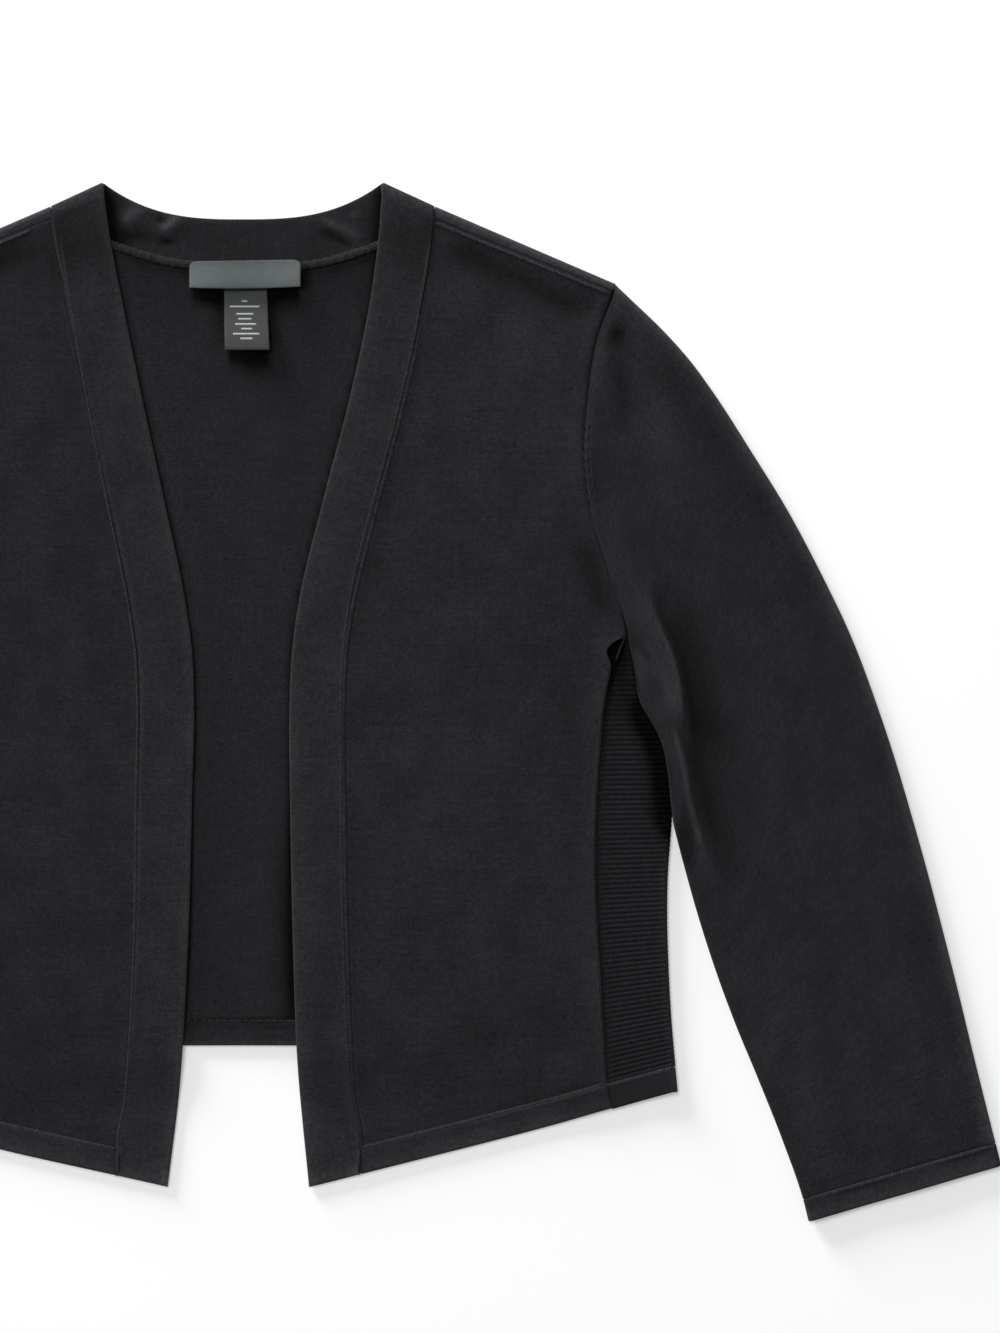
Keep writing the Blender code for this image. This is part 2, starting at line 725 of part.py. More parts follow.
def sleeve_chord(share):
    """The two edge points of the sleeve's section at that share of its length."""
    outer_down = SLEEVE_OUTER[0].down + (CUFF_SEAM_OUTER - SLEEVE_OUTER[0].down) * share
    inner_down = SLEEVE_INNER[0].down + (CUFF_SEAM_INNER - SLEEVE_INNER[0].down) * share
    outer = np.array([smooth(SLEEVE_OUTER, outer_down), outer_down])
    inner = np.array([smooth(SLEEVE_INNER, inner_down), inner_down])
    return outer, inner


def sleeve_plan(chord, share, reach):
    """Plan point of a sleeve section at `reach` from its outer (0) to its inner edge (1)."""
    outer, inner = chord
    first_outer, first_inner = sleeve_chord(0.0)
    seam_down = first_outer[1] + (first_inner[1] - first_outer[1]) * reach
    seam = smooth(ARMHOLE, seam_down) + SEAM_GAP
    straight = first_outer[0] + (first_inner[0] - first_outer[0]) * reach
    curve = (seam - straight) * (1 - share) ** ARMHOLE_FADE
    return outer + (inner - outer) * reach + np.array([curve, 0])


def tube_ring(side, plan_at, width, lift, height, thickness):
    """Skin and lining round a flattened tube. `height` is a function of the inner distance."""
    radius = height(0) / 2
    skin, lining = [], []

    def at(stop):
        return width - stop.from_inner if stop.from_inner else stop.share * (width - 40)

    def turn(distance_of, angles):
        for angle in angles:
            for ring, reach in ((skin, radius), (lining, radius - thickness)):
                plan = plan_at(distance_of(reach * np.cos(angle)) / width)
                middle = lift(plan_at(distance_of(0) / width)) + radius
                ring.append(place(side, plan, middle + reach * np.sin(angle)))

    turn(lambda reach: radius - reach, FOLD_ANGLES[::-1])
    for stop in TOP_STOPS:
        plan = plan_at(at(stop) / width)
        top = lift(plan) + height(width - at(stop))
        skin.append(place(side, plan, top))
        lining.append(place(side, plan, top - thickness))
    turn(lambda reach: width - radius + reach, FOLD_ANGLES)
    for stop in BOTTOM_STOPS:
        plan = plan_at(at(stop) / width)
        skin.append(place(side, plan, lift(plan)))
        lining.append(place(side, plan, lift(plan) + thickness))
    return skin, lining


def build_sleeve(side):
    """Sleeve: one flattened tube from the armhole to the cuff seam."""
    skins, linings = [], []
    for share in np.linspace(0, 1, SLEEVE_RINGS):
        chord = sleeve_chord(share)
        width = np.hypot(*(chord[1] - chord[0]))
        fade = ease(share / 0.05) * (1 - ease(share / RIDGE_END))
        hollow = smooth(SLEEVE_GAP, share)

        def height(distance, fade=fade, hollow=hollow):
            folds = 0.0
            if distance > 3:
                for size, middle, spread in (UNDERARM_RIDGE, UNDERARM_VALLEY):
                    folds += size * np.exp(-(((distance - middle) / spread) ** 2))
            return 2 * KNIT + hollow + folds * fade

        def plan_at(reach, chord=chord, share=share):
            return sleeve_plan(chord, share, reach)

        skin, lining = tube_ring(
            side, plan_at, width, lambda point: sleeve_lift(side, point), height, KNIT
        )
        skins.append(skin)
        linings.append(lining)
    return cloth_wall(f"sleeve_{side}", skins, linings, tube=True)


def build_cuff(side):
    """Double cuff: a short flattened tube below the sleeve."""
    skins, linings = [], []
    for share in np.linspace(0, 1, CUFF_RINGS):
        ends = []
        for outline, seam, edge in (
            (SLEEVE_OUTER, CUFF_SEAM_OUTER, CUFF_OUTER),
            (SLEEVE_INNER, CUFF_SEAM_INNER, CUFF_INNER),
        ):
            down = seam + SEAM_GAP + (edge - seam - SEAM_GAP) * share
            ends.append(np.array([smooth(outline, down), down]))
        width = np.hypot(*(ends[1] - ends[0]))

        def plan_at(reach, ends=ends):
            return ends[0] + (ends[1] - ends[0]) * reach

        skin, lining = tube_ring(
            side, plan_at, width, lambda point: 0.0, lambda distance: 2 * DOUBLE + 0.6, DOUBLE
        )
        skins.append(skin)
        linings.append(lining)
    return cloth_wall(f"cuff_{side}", skins, linings, tube=True)


def build_label():
    """Woven neck label, sewn along its top edge, and standing off the back at its lower one."""
    ends = LABEL_CENTRE + LABEL_WIDTH * np.array([-0.5, 0.5])
    plan = []
    for down in LABEL_TOP + LABEL_HEIGHT * np.linspace(0, 1, 4):
        plan.append(row_between(np.array([ends[0], down]), np.array([ends[1], down]), 9))

    def lift(point):
        middle = 1 - ((point[0] - LABEL_CENTRE) / LABEL_WIDTH * 2) ** 4
        share = ease((point[1] - LABEL_TOP) / LABEL_HEIGHT)
        return LABEL_LIFT + LABEL_STAND_OFF * share * (0.5 + 0.5 * middle)

    flat_wall("neck_label", "r", plan, lift, WOVEN, "label")


def build_tag():
    """Folded size tag under the label, hanging down the back."""
    plan = []
    for share in np.linspace(0, 1, 7):
        ends = np.array(TAG_TOP) * (1 - share) + np.array(TAG_BOTTOM) * share
        down = TAG_DOWN + (TAG_END - TAG_DOWN) * share
        plan.append(row_between(np.array([ends[0], down]), np.array([ends[1], down]), 4))
    below_label = LABEL_TOP + LABEL_HEIGHT

    def lift(point):
        share = ease((point[1] - below_label) / (TAG_END - below_label))
        return KNIT + SEAM_GAP + TAG_STAND_OFF * share

    flat_wall("size_tag", "r", plan, lift, WOVEN, "tag")


def main():
    """Builds every piece of the cardigan."""
    for old in list(bpy.data.objects):
        bpy.data.objects.remove(old)
    build_back()
    build_back_hem()
    build_neckband()
    for side in SIDES:
        build_front_band(side)
        build_front(side)
        build_front_hem(side)
        build_side(side)
        build_side_hem(side)
        build_sleeve(side)
        build_cuff(side)
    build_label()
    build_tag()


if __name__ == "__main__":
    main()
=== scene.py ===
"""Looks of the cropped cardigan: knit shells, linked seams, ribs, label and the studio.

The garment lies flat on its back. Sizes are millimetres until a mesh is made. A place on the
garment is (across, down): the distance from the centre-back line, and the distance below the two
neck points. Right and left mean the picture's sides. +Y points to the neck and +Z up.
"""

import logging
import math
from dataclasses import dataclass, field
from enum import Enum
from typing import Any, Callable, Iterable, Sequence

import bpy
import numpy as np
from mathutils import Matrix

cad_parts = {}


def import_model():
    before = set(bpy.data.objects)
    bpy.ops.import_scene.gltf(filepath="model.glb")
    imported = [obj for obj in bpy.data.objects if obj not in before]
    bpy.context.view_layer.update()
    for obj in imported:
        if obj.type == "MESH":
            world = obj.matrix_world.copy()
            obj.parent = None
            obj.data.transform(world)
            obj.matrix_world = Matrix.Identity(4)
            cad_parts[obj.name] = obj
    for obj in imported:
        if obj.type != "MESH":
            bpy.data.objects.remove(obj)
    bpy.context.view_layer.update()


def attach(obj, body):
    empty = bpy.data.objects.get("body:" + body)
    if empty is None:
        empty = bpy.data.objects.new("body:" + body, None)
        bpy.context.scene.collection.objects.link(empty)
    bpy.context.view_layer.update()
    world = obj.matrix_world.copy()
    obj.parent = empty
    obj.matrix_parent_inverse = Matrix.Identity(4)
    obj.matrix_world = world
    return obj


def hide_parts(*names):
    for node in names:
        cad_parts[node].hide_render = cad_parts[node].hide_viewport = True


Array = np.ndarray
Socket = bpy.types.NodeSocket
LOG = logging.getLogger("cardigan")

MM = 0.001
NECK_POINT_Y = 275.0
UV_NAME = "Knit"
# The mesh value that lightens or darkens the yarn is mostly painted light and shade, over the yarn's own
# tone.
PAINTED_LIGHT_NAME = "Wear"
BODY = "root"
RIB_PITCH = 2.62
FOLD_ANGLES = np.radians(np.linspace(80, -80, 9))


class Side(Enum):
    """A half of the garment, as the picture shows it."""

    RIGHT = 1.0
    LEFT = -1.0

    @property
    def letter(self) -> str:
        """The letter that ends the names of this side's pieces."""
        return self.name[0].lower()

    def pick(self, right: Any, left: Any) -> Any:
        """The first choice on the right half, and the second on the left."""
        return right if self is Side.RIGHT else left


class Face(Enum):
    """Which side of the knit shows."""

    PLAIN = "columns of small Vs"
    PURL = "rows of small bars"


class Slot(Enum):
    """Names of material slots, passed along with each piece and not used."""

    KNIT = "knit"
    BAND = "band_knit"
    RIB = "rib"
    LABEL = "label"
    TAG = "tag"


def ease(t: Array | float) -> Array:
    """0 below 0, 1 above 1, and smooth between."""
    t = np.clip(t, 0.0, 1.0)
    return t * t * (3 - 2 * t)


def unit(v: Array) -> Array:
    """Vectors of the last axis, made 1 long."""
    return v / np.maximum(np.linalg.norm(v, axis=-1, keepdims=True), 1e-9)


def run_lengths(places: Array) -> Array:
    """Distance along a path, or along each column of a grid, from its first point or row."""
    steps = np.linalg.norm(np.diff(places, axis=0), axis=-1)
    return np.concatenate([np.zeros_like(steps[:1]), np.cumsum(steps, 0)])


def cell_corners(grid: Array) -> Array:
    """Corners of each cell of a grid (rows, columns, ...), in order round the cell."""
    corners = (grid[:-1, :-1], grid[:-1, 1:], grid[1:, 1:], grid[1:, :-1])
    return np.stack([c.reshape(-1, *grid.shape[2:]) for c in corners], 1)


@dataclass(frozen=True)
class Line:
    """A smooth line through stations, each a (place, value) pair."""

    stations: tuple[tuple[float, float], ...]

    def at(self, place: Array | float) -> Array:
        """Values of the line.

        Args:
            place: One place or an array of them, held to the line's ends.

        Returns:
            The values there, in the same shape.
        """
        places = np.array([s[0] for s in self.stations], float)
        values = np.array([s[1] for s in self.stations], float)
        slopes = np.gradient(values, places)
        at = np.clip(np.asarray(place, float), places[0], places[-1])
        i = np.clip(np.searchsorted(places, at, side="right") - 1, 0, len(places) - 2)
        run = places[i + 1] - places[i]
        t = (at - places[i]) / run
        ends = (2 * t + 1) * (1 - t) ** 2 * values[i] + t * t * (3 - 2 * t) * values[i + 1]
        bends = t * (1 - t) ** 2 * slopes[i] + t * t * (t - 1) * slopes[i + 1]
        return ends + run * bends


@dataclass(frozen=True)
class Tone:
    """Painted light and shade: a change of the yarn's lightness near a line, strongest at the distance
    `place` from it.
    """

    amount: float
    width: float
    place: float = 0.0

    def at(self, distance: Array) -> Array:
        """Strength of the change at distances from the line."""
        return glow(distance - self.place, self.amount, self.width)


@dataclass(frozen=True)
class Fade:
    """A smooth rise from 0 at `start` to 1 a distance `run` on, or back where it is negative."""

    start: float
    run: float

    def at(self, place: Array) -> Array:
        """Share of the rise at places."""
        return ease((place - self.start) / self.run)


@dataclass(frozen=True)
class Crease:
    """A soft ridge along a path of places, or a trough where its rise is negative.

    `width` is its reach to the path's right hand, seen along it, and `left_width` to the left.
    """

    path: tuple[tuple[float, float], ...]
    rise: float
    width: float
    left_width: float = 0.0
    taper: float = 0.3

    def relief(self, across: Array, down: Array) -> Array:
        """Height that the crease adds at each place.

        Args:
            across: Distances from the centre-back line.
            down: Distances below the neck points.

        Returns:
            The heights, in the same shape.
        """
        points = np.array(self.path, float)
        lengths = np.linalg.norm(np.diff(points, axis=0), axis=1)
        total, start = lengths.sum(), 0.0
        nearest = np.full(np.shape(across), np.inf)
        along, side = np.zeros(np.shape(across)), np.zeros(np.shape(across))
        for a, b, length in zip(points[:-1], points[1:], lengths):
            step = (b - a) / length
            x, y = across - a[0], down - a[1]
            t = np.clip(x * step[0] + y * step[1], 0, length)
            distance = np.hypot(x - step[0] * t, y - step[1] * t)
            closer = distance < nearest
            nearest = np.where(closer, distance, nearest)
            along = np.where(closer, start + t, along)
            side = np.where(closer, x * step[1] - y * step[0], side)
            start += length
        share = along / total
        fade = ease(share / self.taper) * ease((1 - share) / self.taper)
        width = np.where(side > 0, self.left_width or self.width, self.width)
        return self.rise * fade * np.exp(-((nearest / width) ** 2))


@dataclass(frozen=True)
class Swell:
    """A soft round hill, or a hollow where its rise is negative."""

    across: float
    down: float
    half_width: float
    half_length: float
    rise: float

    def relief(self, across: Array, down: Array) -> Array:
        """Height that the swell adds at each place.

        Args:
            across: Distances from the centre-back line.
            down: Distances below the neck points.

        Returns:
            The heights, in the same shape.
        """
        x = (across - self.across) / self.half_width
        y = (down - self.down) / self.half_length
        return self.rise * np.exp(-x * x - y * y)


@dataclass(frozen=True)
class Waves:
    """Faint unevenness of cloth that lies loose, from a few crossing waves."""

    rise: float
    length: float
    seed: int

    def relief(self, across: Array, down: Array) -> Array:
        """Height that the waves add at each place.

        Args:
            across: Distances from the centre-back line.
            down: Distances below the neck points.

        Returns:
            The heights, in the same shape.
        """
        numbers = np.random.default_rng(self.seed)
        total = np.zeros(np.shape(across))
        for _ in range(7):
            turn = numbers.uniform(0, math.tau)
            size = self.length * numbers.uniform(0.6, 1.7)
            phase = numbers.uniform(0, math.tau)
            step = across * math.cos(turn) + down * math.sin(turn)
            total = total + np.sin(math.tau * step / size + phase) / 7
        return self.rise * total


Relief = Crease | Swell | Waves


def total_relief(reliefs: Iterable[Relief], across: Array, down: Array) -> Array:
    """Sum of what each crease, swell or wave adds."""
    return sum((r.relief(across, down) for r in reliefs), np.zeros(np.shape(across)))


@dataclass(frozen=True)
class Cut:
    """Outlines of the garment as it lies. Stations are (down, across) unless it says otherwise."""

    knit: float = 1.4
    double: float = 2.4
    band_width: float = 28.0
    band_corner: float = 27.7
    band_turns: tuple[float, float, float] = (60.0, 490.0, 532.0)
    hem: float = 13.4
    hem_seam_across: float = 193.6
    hem_fold_across: float = 230.0
    tip_down: float = 240.2
    underarm_down: float = 241.0
    neck_point: tuple[float, float] = (74.2, 0.0)
    shoulder_neck: tuple[float, float] = (101.8, 12.7)
    shoulder_tip: tuple[float, float] = (197.4, 53.8)
    shoulder_wrap: tuple[float, float] = (6.2, 4.2)
    neck_depth: float = 19.4
    neck_power: float = 2.9
    cuff_seam: tuple[float, float] = (508.6, 538.2)
    cuff_edge: tuple[float, float] = (520.5, 550.2)
    ribs: int = 90
    rib_relief: float = 0.48

    band_right: Line = Line(
        ((0, 74.2), (35, 71.3), (62, 67.6), (115, 56.5), (168, 42.7), (221, 30.0), (248, 26.2))
        + ((274, 24.9), (327, 25.2), (406, 26.8), (475, 29.6), (532, 35.0))
    )
    band_left: Line = Line(
        ((0, 74.2), (35, 68.9), (62, 63.6), (115, 52.7), (168, 41.3), (221, 30.2), (248, 26.5))
        + ((274, 25.4), (327, 26.5), (406, 28.7), (475, 33.0), (532, 39.8))
    )
    # Hem lines: (across, down).
    hem_right: Line = Line(
        ((0, 540), (35, 532.1), (61, 525.6), (88, 518.8), (130, 508.2), (165, 499), (196, 490))
        + ((231, 481.3),)
    )
    hem_left: Line = Line(
        ((0, 540), (35, 533), (61, 527.2), (88, 521.3), (130, 511.7), (165, 502), (196, 491.2))
        + ((231, 481.3),)
    )
    hem_back: Line = Line(
        ((0, 457), (35, 457.1), (61, 457.4), (88, 458.6), (130, 462.4), (165, 467.6))
        + ((196, 473.4), (231, 481.3))
    )
    # Back neck: share of its half length, against its top edge's across and its seam's place.
    neck_top_across: Line = Line(
        ((0, 0), (0.13, 12), (0.26, 24), (0.39, 36), (0.52, 47), (0.64, 56), (0.75, 63))
        + ((0.86, 69), (1, 73.6))
    )
    neck_seam_across: Line = Line(
        ((0, 0), (0.13, 13), (0.26, 26), (0.39, 39), (0.52, 52), (0.64, 65), (0.75, 76))
        + ((0.86, 86), (1, 94.5))
    )
    neck_seam_down: Line = Line(
        ((0, 43.5), (0.13, 43.3), (0.26, 42.8), (0.39, 41.4), (0.52, 38.2), (0.64, 33.9))
        + ((0.75, 29.6), (0.86, 24.2), (1, 18.6))
    )
    armhole: Line = Line(
        ((54, 197.4), (60, 196.1), (69, 192.5), (82, 187.8), (102, 183.9), (118, 182.2))
        + ((137, 180.8), (150, 180.9), (163, 182.4), (179, 185.7), (207, 194.4), (241, 204.2))
    )
    side_seam: Line = Line(
        ((241, 202.4), (252, 197), (265, 193.5), (278, 191.3), (296, 189.8), (331, 187.4))
        + ((354, 186.8), (373, 187), (412, 189.2), (451, 191.3), (478, 193.3), (491, 195.6))
    )
    side_fold: Line = Line(
        ((241, 204.5), (258, 207.8), (275, 211.0), (290, 221), (300, 225.4), (316, 227.3))
        + ((332, 227.4), (348, 226.3), (364, 225.1), (390, 224.6), (412, 225.2), (444, 226.9))
        + ((475, 229.7), (482, 230.4))
    )
    sleeve_outer: Line = Line(
        ((54, 197.7), (58, 201.8), (62, 206), (78, 222.6), (94, 236.9), (110, 248.6))
        + ((142, 269.2), (173, 288.3), (205, 305.3), (237, 320.7), (285, 338.7), (348, 357.8))
        + ((412, 374.7), (475, 390.1), (521, 401.7))
    )
    sleeve_inner: Line = Line(
        ((241, 204.6), (258, 207.9), (277, 211.5), (284, 215.5), (291, 219.6), (299, 222.6))
        + ((313, 225.1), (331, 226.9), (340, 228), (348, 230), (364, 234.3), (380, 238.7))
        + ((412, 248.6), (444, 260.2), (475, 273), (507, 285.7), (539, 296.8), (550.3, 299.6))
    )

    def hem_line(self, side: Side | None) -> Line:
        """Lower edge of a front, or of the back where side is None."""
        return {Side.RIGHT: self.hem_right, Side.LEFT: self.hem_left, None: self.hem_back}[side]

    def band_cross(self, side: Side, down: Array) -> tuple[Array, Array, Array]:
        """Cross lines of the front band.

        Args:
            side: The front it runs on.
            down: Downs of the band's inner edge.

        Returns:
            The inner edge's places, the unit cross lines and the band's widths.
        """
        inner_line = side.pick(self.band_right, self.band_left)
        across = inner_line.at(down)
        slope = inner_line.at(down + 0.5) - inner_line.at(down - 0.5)
        inner = np.stack([across, down], -1)
        line = unit(np.stack([np.ones_like(down), -slope], -1))
        width = np.full(down.shape, self.band_width)
        corner_across = across + self.band_corner
        corner = np.stack([corner_across, self.hem_line(side).at(corner_across)], -1) - inner
        fold = np.array(self.shoulder_neck) - np.array(self.neck_point)
        shoulder_end, corner_start, corner_end = self.band_turns
        to_fold = ease((shoulder_end - down) / shoulder_end)[:, None]
        to_corner = ease((down - corner_start) / (corner_end - corner_start))[:, None]
        for end, share in ((np.broadcast_to(fold, inner.shape), to_fold), (corner, to_corner)):
            long = np.linalg.norm(end, axis=-1)
            line = line * (1 - share) + unit(end) * share
            width = width * (1 - share[:, 0]) + long * share[:, 0]
        return inner, unit(line), width

    def band_grid(self, side: Side, down: Array, reach: Array) -> Array:
        """Places (rows, columns, 2) of the front band; reach is 0 inside and 1 on its seam."""
        inner, line, width = self.band_cross(side, down)
        return inner[:, None] + line[:, None] * width[:, None, None] * reach[None, :, None]

    def band_seam(self, side: Side, down: Array | float) -> Array:
        """Distance across of the band's outer seam.

        Args:
            side: The half it is on.
            down: Distances below the neck points.

        Returns:
            The distances across, in the same shape.
        """
        downs = np.linspace(0, self.band_turns[-1], 140)
        seam = self.band_grid(side, downs, np.array([1.0]))[:, 0]
        return np.interp(down, seam[:, 1], seam[:, 0])

    def neck_edge_down(self, across: Array) -> Array:
        """Top edge of the neckband."""
        return self.neck_depth * (1 - (np.abs(across) / self.neck_point[0]) ** self.neck_power)

    def neck_rows(self, share: Array, reach: Array) -> Array:
        """Places of the neckband's half; share is 0 at the centre back, reach 1 on its seam.

        Args:
            share: Shares of its half length.
            reach: Shares of its width.

        Returns:
            Places (rows, columns, 2).
        """
        top_across = self.neck_top_across.at(share)
        top = np.stack([top_across, self.neck_edge_down(top_across)], -1)
        seam = np.stack([self.neck_seam_across.at(share), self.neck_seam_down.at(share)], -1)
        return top[:, None] + (seam - top)[:, None] * reach[None, :, None]

    def shoulder(self, across: Array) -> tuple[Array, Array, Array]:
        """The shoulder line: its places, its outward unit vector and how far the back wraps.

        Args:
            across: Distances from the centre-back line.

        Returns:
            The places, one vector, and the wrap at each place.
        """
        start, end = np.array(self.shoulder_neck), np.array(self.shoulder_tip)
        share = (across - start[0]) / (end[0] - start[0])
        line = unit(end - start)
        places = start + (end - start) * share[..., None]
        wrap = self.shoulder_wrap[0] + (self.shoulder_wrap[1] - self.shoulder_wrap[0]) * share
        return places, np.array([line[1], -line[0]]), wrap

    def body_edge(self, down: Array) -> Array:
        """Outer edge of a front or back panel: the armhole, then the side seam."""
        return np.where(down <= self.underarm_down, self.armhole.at(down), self.side_seam.at(down))


@dataclass(frozen=True)
class Lie:
    """How high each layer of the garment lies, the creases that lie in it, and the light and shade
    painted on the yarn over them.
    """

    cut: Cut = Cut()
    front_lift: float = 3.0
    drop_start: float = 2.0
    drop_run: float = 34.0
    side_step: float = 0.8
    side_step_width: float = 16.0
    side_step_downs: tuple[float, float, float, float] = (205, 245, 440, 470)
    sleeve_over_rib: float = 1.6
    sleeve_run: float = 15.0
    sleeve_over_downs: tuple[float, float, float, float] = (248, 274, 340, 374)
    sleeve_gap: Line = Line(((0.0, 1.6), (0.3, 2.2), (0.65, 2.2), (1.0, 2.0)))
    seam_dip: float = -0.3
    seam_dip_width: float = 2.2
    hem_dip: float = 0.6
    hem_dip_width: float = 1.8
    band_roll: float = 0.15
    band_roll_width: float = 2.4
    # Painted shade and highlight: per mm of a crease's rise, the yarn is this much lighter on ridges and
    # darker in troughs.
    crease_wear: float = 0.2
    armhole_dip: Line = Line(((54, 0.3), (70, 0.5), (118, 0.5), (140, 0.15), (200, 0.1), (245, 0.1)))
    armhole_dip_width: float = 1.2
    armhole_roll: float = 0.3
    armhole_roll_place: float = 4.6
    armhole_roll_width: float = 2.6
    both: tuple[Relief, ...] = (Swell(115, 240, 62, 130, 0.9), Swell(215, 292, 20, 42, -1.1))
    right: tuple[Relief, ...] = (Swell(36, 428, 18, 46, 1.9),)
    left: tuple[Relief, ...] = (Swell(42, 360, 18, 120, 1.2),)
    front_creases: tuple[Relief, ...] = (
        Crease(((106, 33), (135, 47), (160, 59), (180, 69), (193, 76)), -1.5, 7.5, taper=0.2),
        Swell(154, 108, 38, 62, 0.7),
        Crease(((180, 186), (187, 212), (194, 236)), -1.0, 8),
        Crease(((98, 462), (140, 453), (186, 438)), -0.35, 13),
        Swell(196, 247, 7, 8, 0.9),
    )
    sleeve_creases: tuple[Relief, ...] = (
        Crease(
            ((213, 208), (218.3, 230), (225.2, 245), (229, 255), (231.3, 268), (232.2, 284))
            + ((231.5, 298),),
            2.6,
            7.0,
            2.0,
        ),
        Crease(((216, 208), (226, 235), (233.5, 254), (237, 274), (241, 300), (245, 322)), -1.6, 3.5, 16),
        Crease(
            ((225, 282), (230, 298), (233.8, 313), (238, 335), (244.4, 355.6), (257, 382)),
            1.8,
            5.5,
            2.4,
        ),
        Crease(((240, 296), (246.5, 330), (254, 359), (264, 384)), -1.2, 4, 13),
        Crease(((205.6, 241), (211.5, 247.5), (218.6, 256.6)), -0.9, 1.9),
        Crease(((209, 262), (217, 270), (226, 276)), -0.25, 3.5),
        Swell(197.6, 81.0, 4.6, 5.5, -2.0),
        Crease(((200, 78), (202, 98), (203.5, 120), (201.5, 144)), -0.9, 5.5),
        Crease(((192, 86), (190, 104), (190, 126)), 0.5, 3.5),
        Crease(((219, 80), (237, 107), (261, 144), (281, 182), (300, 226)), -0.7, 7),
        Crease(((215, 112), (228, 145), (240, 180)), 0.7, 12),
        Crease(((295, 375), (309, 425), (323, 480)), -0.6, 13),
        Crease(((336, 400), (350, 445), (366, 490)), 0.5, 11),
    )
    neck_creases: tuple[Relief, ...] = (
        Crease(((-44.5, 27.6), (-38, 22.6), (-31, 17.4)), 1.9, 2.8, taper=0.35),
        Swell(-40.8, 31.4, 4.2, 1.9, -0.9),
        Crease(((-41.5, 17), (-43.5, 23)), -0.8, 3.0, taper=0.5),
        Crease(((-66, 22.5), (-58, 17.5), (-50, 13.5)), 1.35, 4.2, taper=0.4),
        Crease(((-66, 29), (-55, 28.5), (-45, 31)), -0.5, 3.2, taper=0.3),
        Crease(((40, 19), (52, 24.5), (64, 31)), 0.9, 2.4),
        Crease(((38, 24), (50, 29.5), (60, 35)), -0.6, 2.6),
        Crease(((56, 15), (64, 20)), 0.7, 2.6, taper=0.5),
    )
    # Painted shadow, not relief: under the sleeve's fold on the ribs, and in the underarm opening on the
    # back.
    underarm_shade: tuple[Relief, ...] = (
        Crease(
            ((209, 266), (215, 280), (221, 293), (225, 305), (227, 320), (228.6, 354)),
            2.6,
            8.6,
            taper=0.22,
        ),
        Swell(199, 260, 15, 20, 0.6),
        Swell(196, 248, 6, 7, 0.8),
    )
    # Painted light and shade on the fronts, not relief: soft strips and patches of lighter and darker
    # yarn.
    front_tones: tuple[Relief, ...] = (
        Crease(((180, 184), (187, 210), (195, 236)), -0.3, 8, 14, taper=0.3),
        Crease(((100, 30), (135, 48), (162, 61), (184, 71)), -0.22, 9.0, taper=0.15),
        Swell(160, 258, 20, 26, -0.12),
        Swell(170, 300, 16, 40, -0.08),
        Crease(((70, 464), (104, 460), (140, 453), (184, 438)), -0.06, 14),
        Crease(((190, 220), (197, 235), (193, 254)), -0.25, 5),
        Swell(104, 330, 40, 60, 0.07),
        Swell(110, 477, 60, 12, 0.08),
        Swell(172, 456, 20, 10, -0.08),
        Swell(131, 444, 14, 7, 0.1),
        Swell(60, 490, 60, 22, 0.1),
    )
    # Painted light and shade on the sleeves, not relief: highlights along folds and ridges, shade in
    # troughs and hollows.
    sleeve_tones: tuple[Relief, ...] = (
        Crease(((189, 165), (196, 192), (204, 218), (209, 240)), 0.28, 8.0, taper=0.2),
        Crease(((206, 240), (214, 256), (221, 273), (226, 287)), 0.42, 6.5, taper=0.2),
        Swell(221, 219, 7, 7, -0.22),
        Swell(258, 306, 14, 18, -0.1),
        Crease(
            ((217.8, 231), (225.2, 245), (229.6, 258), (232, 271), (233, 286)),
            1.1,
            1.3,
            0.8,
            taper=0.2,
        ),
        Crease(
            ((227, 287), (231, 299), (233.8, 311), (235.6, 324), (239, 338), (243, 352)),
            2.1,
            1.5,
            1.2,
            taper=0.15,
        ),
        Crease(
            ((218, 218), (227.6, 237), (233.6, 253), (236.6, 271), (239.6, 292), (243, 312)),
            -0.3,
            2.6,
            16,
        ),
        Swell(246, 292, 9, 14, -0.14),
        Crease(((238, 290), (241, 312), (246, 335), (254, 360)), -0.2, 3.0, 12),
        Crease(((223.5, 298), (226.4, 314), (229.2, 334)), -0.35, 2.2, taper=0.3),
        Crease(((206.6, 243.7), (212, 249), (217.3, 255)), -0.3, 1.8),
        Swell(199, 81, 6.0, 6.0, -0.42),
        Crease(((203.3, 96), (204.2, 114), (203.3, 135)), -0.08, 6.0),
        Swell(189, 91, 4.5, 5, 0.16),
        Crease(((208, 84), (224, 103), (234, 116), (246, 138), (257, 158), (268, 190)), -0.14, 7.5),
        Swell(262, 196, 12, 20, -0.1),
        Crease(((280, 190), (300, 235), (318, 290)), -0.1, 9.0),
        Swell(218, 142, 12, 20, 0.06),
        Swell(290, 460, 34, 70, 0.14),
        Swell(345, 420, 12, 60, -0.06),
    )
    front_share: tuple[float, float] = (1.01, 0.94)
    below_neck: Fade = Fade(40, 50)
    # Painted shade in the armhole seam's groove, fading out below groove_end.
    armhole_groove: Tone = Tone(0.4, 1.1)
    groove_end: Fade = Fade(128, -12)
    # Painted shadows that the label and the tag cast on the back, not relief.
    label_shade: tuple[Relief, ...] = (
        Crease(((-29, 58.5), (-15, 59.5), (0, 59.5), (15, 59.5), (31, 58)), 0.92, 5.6, taper=0.05),
        Crease(((-9, 91.5), (4, 93.5), (16, 92.5)), 0.92, 6.3, taper=0.1),
        Crease(((14.4, 58), (15.4, 74), (16.2, 88)), 0.42, 3.6, taper=0.1),
        Crease(((-11, 58), (-11.5, 74), (-12, 88)), 0.3, 4.0, taper=0.1),
        Swell(2, 80, 34, 26, 0.14),
        Crease(((32, 43), (32.4, 50), (32, 58)), 0.6, 3.4, taper=0.15),
    )
    front_waves: Waves = Waves(0.55, 62.0, 3)
    sleeve_waves: Waves = Waves(0.6, 58.0, 8)
    back_waves: Waves = Waves(0.3, 70.0, 12)
    side_scale: float = 0.9

